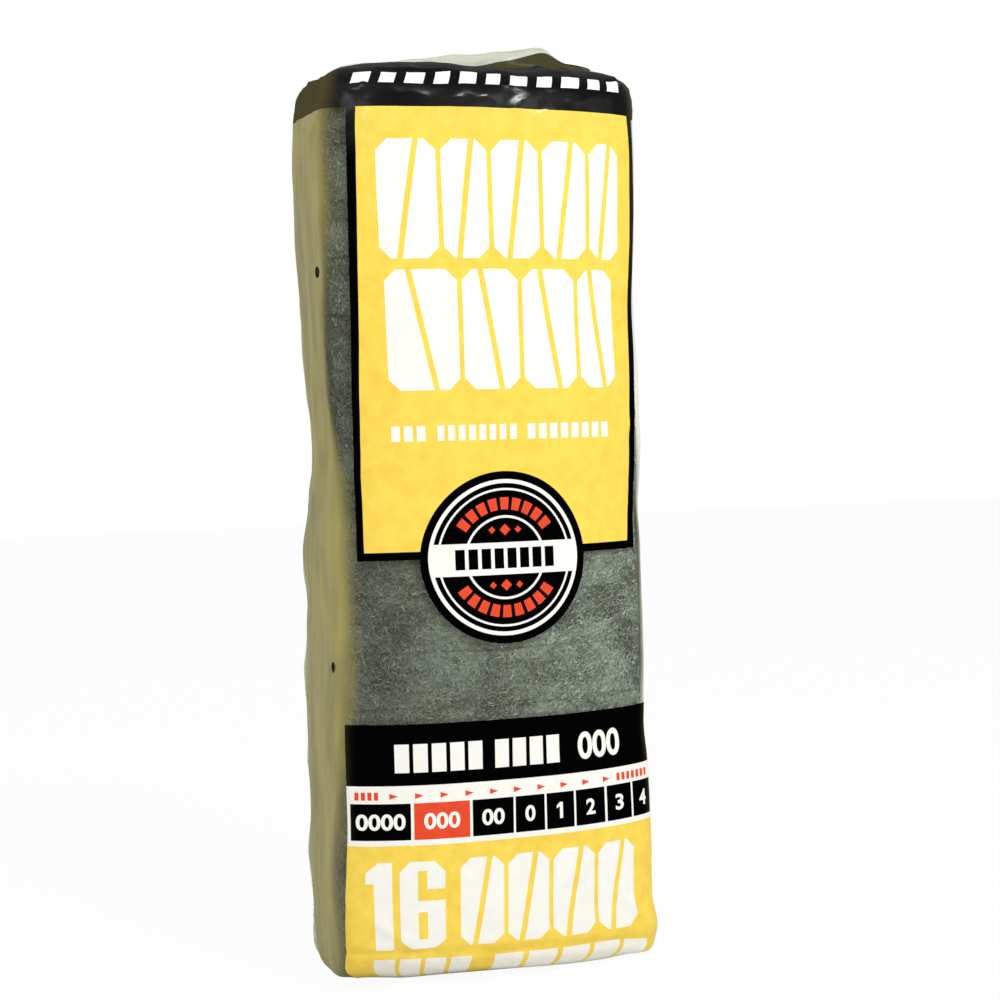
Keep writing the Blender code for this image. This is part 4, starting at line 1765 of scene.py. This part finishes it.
@dataclass
class WoolColumn:
    """The sixteen pads, each a lumpy slab of steel wool with loose fibres on its sides."""

    form: BagForm
    count: int = 16
    pitch: float = 0.0183
    gap: float = 0.00005
    start: float = 0.0010
    clearance: float = 0.0010
    edge: float = 0.00025
    edge_power: float = 13.0
    lump: float = 0.0009
    lump_size: Triple = (0.028, 0.028, 0.013)
    grain: float = 0.00012
    grain_size: float = 0.0016
    around: int = 200
    levels: int = 14
    window: tuple[int, int] = (5, 8)
    print_cover: Pair = (0.010, 0.006)  # behind the print, fibres start this far before the corner
    back_bare: float = 0.7  # share of the fibres that the back goes without
    back_fade: float = 0.006
    window_density: float = 5.0e6
    hidden_density: float = 3.0e6
    inputs: dict[str, float] = field(
        default_factory=lambda: {
            "Fibre length": 0.0017,
            "Fibre width": 0.00012,
            "Lean": 0.75,
            "Lean spread": 1.5,
            "Lift": 0.00018,
        }
    )

    def in_window(self, number: int) -> bool:
        """Whether a pad shows through the clear window in the front."""
        return self.window[0] <= number <= self.window[1]

    def ring(self, s: np.ndarray, level: float, bottom: float) -> np.ndarray:
        """One level of a pad's side, with the hollows and the grain of its matted wool.

        Args:
            s: Positions along the film.
            level: Share of the pad's height, 0 to 1.
            bottom: The height of the pad's underside.

        Returns:
            One row of x, y and z for each position.
        """
        z = np.full_like(s, bottom + (self.pitch - self.gap) * level)
        rounding = self.edge * abs(2.0 * level - 1.0) ** self.edge_power
        inset = self.clearance + rounding + self.form.drawn_in_low(z)
        points = self.form.ring_points(s, z, inset)
        ahead = np.roll(points, -1, axis=0) - np.roll(points, 1, axis=0)
        inward = np.stack((-ahead[:, 1], ahead[:, 0]), axis=1)
        inward /= np.linalg.norm(inward, axis=1, keepdims=True)
        places = np.column_stack((points[:, :2], z))
        swell = np.array([noise.noise(Vector(place)) for place in places / self.lump_size])
        grain = np.array([noise.noise(Vector(place)) for place in places / self.grain_size])
        depth = self.lump * np.clip(0.5 + swell, 0.0, 1.0) + self.grain * grain
        points[:, :2] += inward * depth[:, None]
        return points

    def pad_mesh(self, number: int) -> Mesh:
        """One pad: rounded along its edges and lumpy round its sides.

        Args:
            number: 1 for the lowest pad.

        Returns:
            A closed mesh, with a fuzz attribute that says where its fibres are.
        """
        half = self.form.half_length()
        bottom = self.start + self.pitch * (number - 1)
        s = np.linspace(-half, half, self.around, endpoint=False)
        rings = [self.ring(s, level / self.levels, bottom) for level in range(self.levels + 1)]
        points = np.concatenate([*rings, rings[0].mean(axis=0)[None], rings[-1].mean(axis=0)[None]])
        n, centre = self.around, self.around * (self.levels + 1)
        faces = []
        for level in range(self.levels):
            a = level * n
            faces += [(a + i, a + (i + 1) % n, a + n + (i + 1) % n, a + n + i) for i in range(n)]
        faces += [((i + 1) % n, i, centre) for i in range(n)]
        top = self.levels * n
        faces += [(top + i, top + (i + 1) % n, centre + 1) for i in range(n)]
        mesh = bpy.data.meshes.new(f"wool_pad_{number:02d}")
        mesh.from_pydata(points.tolist(), [], faces)
        mesh.shade_smooth()
        corner = self.form.corner_s()
        back = self.form.back_corner_s()
        shown = np.ones_like(s)
        if not self.in_window(number):
            shown = smooth(np.abs(s), *(corner - reach for reach in self.print_cover))
        shown = shown * (1.0 - self.back_bare * smooth(np.abs(s), back - self.back_fade, back))
        fuzz = np.concatenate((np.tile(shown, self.levels + 1), (0.0, 0.0)))
        mesh.attributes.new("fuzz", "FLOAT", "POINT").data.foreach_set("value", fuzz.astype(np.float32))
        return mesh

    def build(self, fibres: NodeTree, finish: Material) -> list[Object]:
        """Every pad, from the lowest up.

        Args:
            fibres: The node group that scatters the fibres.
            finish: The wool's material.

        Returns:
            One plain mesh piece for each pad.
        """
        pads = []
        for number in range(1, self.count + 1):
            density = self.window_density if self.in_window(number) else self.hidden_density
            values = {"Fibres per square metre": density, "Seed": number * 100, "Finish": finish}
            values.update(self.inputs)
            pads.append(grown(f"wool_pad_{number:02d}", self.pad_mesh(number), fibres, values))
        return pads


def opened(tree: NodeTree, inputs: dict[str, str], output: str) -> Sockets:
    """Give a Geometry Nodes group its named inputs and its output.

    Args:
        tree: The group.
        inputs: The kind of each input, by name.
        output: The output's name.

    Returns:
        The inputs, as sockets inside the group.
    """
    for label, kind in inputs.items():
        tree.interface.new_socket(label, in_out="INPUT", socket_type=f"NodeSocket{kind}")
    tree.interface.new_socket(output, in_out="OUTPUT", socket_type="NodeSocketGeometry")
    return tree.nodes.new("NodeGroupInput").outputs


def grown(name: str, mesh: Mesh, tree: NodeTree, values: dict) -> Object:
    """A plain mesh piece made from a mesh by a node group.

    Args:
        name: The piece's name.
        mesh: What the group is given.
        tree: The node group.
        values: What its named inputs are set to.

    Returns:
        The finished piece, with no modifier.
    """
    carrier = linked(f"{name}_carrier", mesh)
    modifier = carrier.modifiers.new("grow", "NODES")
    modifier.node_group = tree
    for item in tree.interface.items_tree:
        if item.item_type == "SOCKET" and item.in_out == "INPUT" and item.name in values:
            modifier[item.identifier] = values[item.name]
    carrier.update_tag()
    bpy.context.view_layer.update()
    evaluated = carrier.evaluated_get(bpy.context.evaluated_depsgraph_get())
    plain = bpy.data.meshes.new_from_object(evaluated)
    plain.name = name
    bpy.data.objects.remove(carrier)
    return linked(name, plain)


@dataclass(frozen=True)
class WeldFinish:
    """The pale, fused film of a weld."""

    pale: Triple = (0.66, 0.64, 0.50)
    deep: Triple = (0.40, 0.38, 0.26)
    streaks: Pattern = Pattern(420.0, (1.0, 1.0, 0.6), 3.0)
    streak_depth: float = 0.0004
    streak_strength: float = 0.5
    roughness: float = 0.28
    specular: float = 0.3

    def make(self, name: str) -> Material:
        """The material under a name.

        Args:
            name: The material's name.

        Returns:
            The material.
        """
        material, tree, output = new_material(name)
        fused = self.streaks.add(tree)
        shader = node(tree, "ShaderNodeBsdfPrincipled", {
            "Base Color": ramp(tree, fused, ((0.35, self.deep), (0.60, self.pale))),
            "Roughness": self.roughness,
            "Specular IOR Level": self.specular,
            "Normal": bump(tree, fused, self.streak_depth, self.streak_strength),
        })
        tree.links.new(shader.outputs["BSDF"], output.inputs["Surface"])
        return material


@dataclass(frozen=True)
class WeldedFin:
    """The thin welded edge along a back corner, crimped all the way up."""

    form: BagForm
    width: float = 0.0017
    wave: float = 0.0005
    wave_length: float = 0.031
    splay: float = 0.45
    half: float = 0.00016
    root: float = 0.0004
    step: float = 0.0012
    curl: float = 0.00035
    curl_length: float = 0.0105
    foot: float = 0.0046  # how far up the sheet the fin starts
    top_share: float = 0.30  # how far over the dome the fin runs out
    dome_steps: int = 8
    foot_share: float = 0.35  # the fin's width at the floor, as a share
    tip_share: float = 0.05  # what is left of its width at its upper end
    seam_share: float = 0.62  # how far across the blade its crimps are
    crimp_pitch: float = 0.0017
    crimp_size: Triple = (0.00085, 0.00036, 0.00062)

    def rail(self, sideways: float) -> tuple[np.ndarray, np.ndarray, np.ndarray]:
        """The back corner, the way that the fin points, and its width, from the floor to the ridge.

        Args:
            sideways: 1 for the right fin, -1 for the left one.

        Returns:
            Points, outward directions and widths.
        """
        form = self.form
        body = np.arange(form.under_h + self.foot, form.shoulder, self.step)
        dome = np.linspace(form.shoulder, form.shoulder + self.top_share * form.dome_arc, self.dome_steps)
        h = np.concatenate((body, dome))
        s = np.full_like(h, sideways * form.back_corner_s())
        points = form.points(s, h)
        z = form.height_of(h)
        share = 1.0 + self.tip_share - smooth(h, form.shoulder, dome[-1])
        share = share * np.minimum(1.0, self.foot_share + z / form.base_round)
        width = (self.width + self.wave * np.sin(2.0 * math.pi * z / self.wave_length)) * share
        out = np.zeros_like(points)
        out[:, 0], out[:, 1] = sideways, self.splay
        curled = self.curl / self.width * np.sin(2.0 * math.pi * z / self.curl_length)
        out += curled[:, None] * (0.0, 1.0, 0.0)
        return points, out / np.linalg.norm(out, axis=1, keepdims=True), width

    def blade(self, sideways: float) -> Mesh:
        """The fin's thin blade, as a closed mesh.

        Args:
            sideways: 1 for the right fin, -1 for the left one.

        Returns:
            The mesh.
        """
        points, out, width = self.rail(sideways)
        across = np.stack((-out[:, 1], out[:, 0], np.zeros(len(out))), axis=1) * self.half
        inner, tip = points - out * self.root, points + out * width[:, None]
        levels = np.stack((inner - across, tip - across, tip + across, inner + across), axis=1)
        corners = levels.reshape(-1, 3)
        last = len(corners) - 4
        faces = [(3, 2, 1, 0), (last, last + 1, last + 2, last + 3)]
        for a in range(0, last, 4):
            faces += [(a + i, a + (i + 1) % 4, a + 4 + (i + 1) % 4, a + 4 + i) for i in range(4)]
        mesh = bpy.data.meshes.new("fin_blade")
        mesh.from_pydata(corners.tolist(), [], faces)
        return mesh

    def seam(self, sideways: float) -> Mesh:
        """The line along the blade that its crimps follow.

        Args:
            sideways: 1 for the right fin, -1 for the left one.

        Returns:
            The mesh.
        """
        points, out, width = self.rail(sideways)
        line = points + out * (self.seam_share * width)[:, None]
        mesh = bpy.data.meshes.new("fin_seam")
        mesh.from_pydata(line.tolist(), [(i, i + 1) for i in range(len(line) - 1)], [])
        return mesh

    def tree(self) -> NodeTree:
        """Geometry Nodes that set a crimp every so far along a seam.

        Returns:
            The node group.
        """
        tree = bpy.data.node_groups.new("weld_crimps", "GeometryNodeTree")
        sizes = {"Pitch": "Float", "Crimp size": "Vector", "Turn": "Float"}
        given = opened(tree, {"Seam": "Geometry", **sizes, "Finish": "Material"}, "Crimps")
        curve = node(tree, "GeometryNodeMeshToCurve", {"Mesh": given["Seam"]}).outputs["Curve"]
        values = {"Curve": curve, "Length": given["Pitch"]}
        even = node(tree, "GeometryNodeResampleCurve", values, mode="LENGTH")
        bead = node(tree, "GeometryNodeMeshUVSphere", {"Segments": 6, "Rings": 4, "Radius": 1.0})
        laid = node(tree, "GeometryNodeInstanceOnPoints", {
            "Points": even.outputs["Curve"],
            "Instance": bead.outputs["Mesh"],
            "Rotation": node(tree, "ShaderNodeCombineXYZ", {"Z": given["Turn"]}).outputs["Vector"],
            "Scale": given["Crimp size"],
        })
        real = node(tree, "GeometryNodeRealizeInstances", {"Geometry": laid.outputs["Instances"]})
        smoothed = node(tree, "GeometryNodeSetShadeSmooth", {"Geometry": real.outputs["Geometry"]})
        values = {"Geometry": smoothed.outputs["Geometry"], "Material": given["Finish"]}
        dressed = node(tree, "GeometryNodeSetMaterial", values)
        node(tree, "NodeGroupOutput", {"Crimps": dressed.outputs["Geometry"]})
        return tree

    def build(self, finish: Material) -> list[Object]:
        """Both fins, each a blade and its crimps.

        Args:
            finish: The weld's material.

        Returns:
            Four pieces.
        """
        crimps = self.tree()
        pieces = []
        for side, sideways in (("left", -1.0), ("right", 1.0)):
            blade = linked(f"{side}_fin_blade", self.blade(sideways))
            blade.data.materials.append(finish)
            turn = math.atan2(self.splay, sideways)
            values = {"Pitch": self.crimp_pitch, "Crimp size": self.crimp_size}
            values.update({"Turn": turn, "Finish": finish})
            pieces += [blade, grown(f"{side}_fin_crimps", self.seam(sideways), crimps, values)]
        return pieces


@dataclass(frozen=True)
class View:
    """The camera, where the photograph was taken from."""

    place: Triple = (-0.2216, -0.6477, 0.1849)
    forward: Triple = (0.3352, 0.9414, -0.0388)
    down: Triple = (-0.0354, -0.0286, -0.9990)
    lens: float = 72.43

    def make(self) -> None:
        """Add the camera and look through it."""
        data = bpy.data.cameras.new("camera")
        data.lens = self.lens
        data.clip_start = 0.01
        camera = linked("camera", data)
        back = -Vector(self.forward).normalized()
        up = -Vector(self.down)
        right = up.cross(back).normalized()
        up = back.cross(right)
        turned = Matrix((right, up, back)).transposed().to_4x4()
        camera.matrix_world = Matrix.Translation(self.place) @ turned
        bpy.context.scene.camera = camera


@dataclass(frozen=True)
class Lamp:
    """A soft rectangular lamp that faces a point."""

    name: str
    place: Triple
    aim: Triple
    size: Pair
    watts: float

    def make(self) -> None:
        """Add the lamp."""
        data = bpy.data.lights.new(self.name, "AREA")
        data.shape = "RECTANGLE"
        data.size, data.size_y = self.size
        data.energy = self.watts
        lamp = linked(self.name, data)
        lamp.location = self.place
        lamp.rotation_euler = (Vector(self.aim) - Vector(self.place)).to_track_quat("-Z", "Y").to_euler()


@dataclass(frozen=True)
class Studio:
    """The plain pale floor, the white surroundings and the soft lamps."""

    floor_half: float = 3.0
    floor_drop: float = 0.0003
    floor_colour: Triple = (0.86, 0.86, 0.86)
    floor_white: float = 0.95  # share of plain white that a camera ray sees on the floor
    world_level: float = 0.62
    lamps: tuple[Lamp, ...] = (
        Lamp("key", (-0.75, -1.05, 0.95), (0.0, 0.0, 0.15), (0.7, 0.7), 3.95),
        Lamp("fill", (0.95, -0.85, 0.55), (0.0, 0.0, 0.15), (0.7, 0.7), 1.7),
        Lamp("top_gleam", (0.23, -0.68, 0.80), (0.0, -0.02, 0.29), (0.18, 0.08), 3.1),
    )

    def make(self) -> None:
        """Add the floor, the world and the lamps."""
        self.make_floor()
        self.make_world()
        for lamp in self.lamps:
            lamp.make()

    def make_floor(self) -> None:
        """A wide pale floor that keeps the object's shadow and goes to white for the camera."""
        half, z = self.floor_half, -self.floor_drop
        mesh = bpy.data.meshes.new("floor")
        corners = [(-half, -half, z), (half, -half, z), (half, half, z), (-half, half, z)]
        mesh.from_pydata(corners, [], [(0, 1, 2, 3)])
        floor = linked("floor", mesh)
        material, tree, output = new_material("pale_floor")
        matt = node(tree, "ShaderNodeBsdfDiffuse", {"Color": (*self.floor_colour, 1.0)}).outputs["BSDF"]
        white = node(tree, "ShaderNodeEmission").outputs["Emission"]
        camera_ray = node(tree, "ShaderNodeLightPath").outputs["Is Camera Ray"]
        seen = arithmetic(tree, "MULTIPLY", camera_ray, self.floor_white)
        shown = node(tree, "ShaderNodeMixShader", {"Fac": seen, 1: matt, 2: white}).outputs["Shader"]
        tree.links.new(shown, output.inputs["Surface"])
        mesh.materials.append(material)

    def make_world(self) -> None:
        """White surroundings, plain white to the camera and through the clear film."""
        world = bpy.data.worlds.new("studio")
        bpy.context.scene.world = world
        world.use_nodes = True
        tree = world.node_tree
        background = tree.nodes["Background"]
        background.inputs["Color"].default_value = (1.0, 1.0, 1.0, 1.0)
        rays = node(tree, "ShaderNodeLightPath").outputs
        seen = arithmetic(tree, "MAXIMUM", rays["Is Camera Ray"], rays["Is Transmission Ray"])
        level = arithmetic(tree, "MULTIPLY_ADD", seen, 1.0 - self.world_level, self.world_level)
        tree.links.new(level, background.inputs["Strength"])


FINISHES: dict[Ink, InkFinish | ClearFinish] = {
    Ink.CLEAR: ClearFinish(),
    Ink.YELLOW: InkFinish((0.955, 0.700, 0.105), (0.880, 0.620, 0.080)),
    # black turns olive round the sides and the ridge: milky film with a painted grazing sheen
    Ink.BLACK: InkFinish(
        (0.0010, 0.0010, 0.0012), (0.0007, 0.0007, 0.0009), olive_haze_and_sheen=(0.082, 0.072, 0.030),
        roughness=0.22, specular=0.0,
    ),
    Ink.WHITE: InkFinish((0.93, 0.92, 0.855), (0.89, 0.88, 0.815)),
    Ink.RED: InkFinish((0.82, 0.080, 0.030), (0.76, 0.068, 0.026)),
}


def settle(piece: Object, slot: str, *replaced: str) -> None:
    """Let a piece ride on the part, and hide the solids that it stands for.

    Args:
        piece: The piece.
        slot: Not used.
        replaced: The solids it stands for.
    """
    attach(piece, BODY)
    if replaced:
        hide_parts(*replaced)
    log.info("%s: %d faces", piece.name, len(piece.data.polygons))


def main() -> None:
    """Build every piece in order and dress it."""
    logging.basicConfig(level=logging.INFO, format="%(name)s %(message)s")
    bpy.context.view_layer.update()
    View().make()
    form = BagForm()
    finishes = {ink: finish.make(f"{ink.value}_finish") for ink, finish in FINISHES.items()}
    for ink, piece in FilmSheet(form, Print()).build(finishes).items():
        settle(piece, ink.value, *(("film_bag",) if ink is Ink.CLEAR else ()))
    for piece in WeldedFin(form).build(WeldFinish().make("weld_finish")):
        settle(piece, Ink.CLEAR.value)
    column = WoolColumn(form)
    for number, pad in enumerate(column.build(FibreTree().make(), WoolFinish().make("steel_wool_finish")), 1):
        settle(pad, "steel_wool", f"pad_{number:02d}")
    Studio().make()
    bpy.context.scene.view_settings.view_transform = "Standard"


if __name__ == "__main__":
    main()
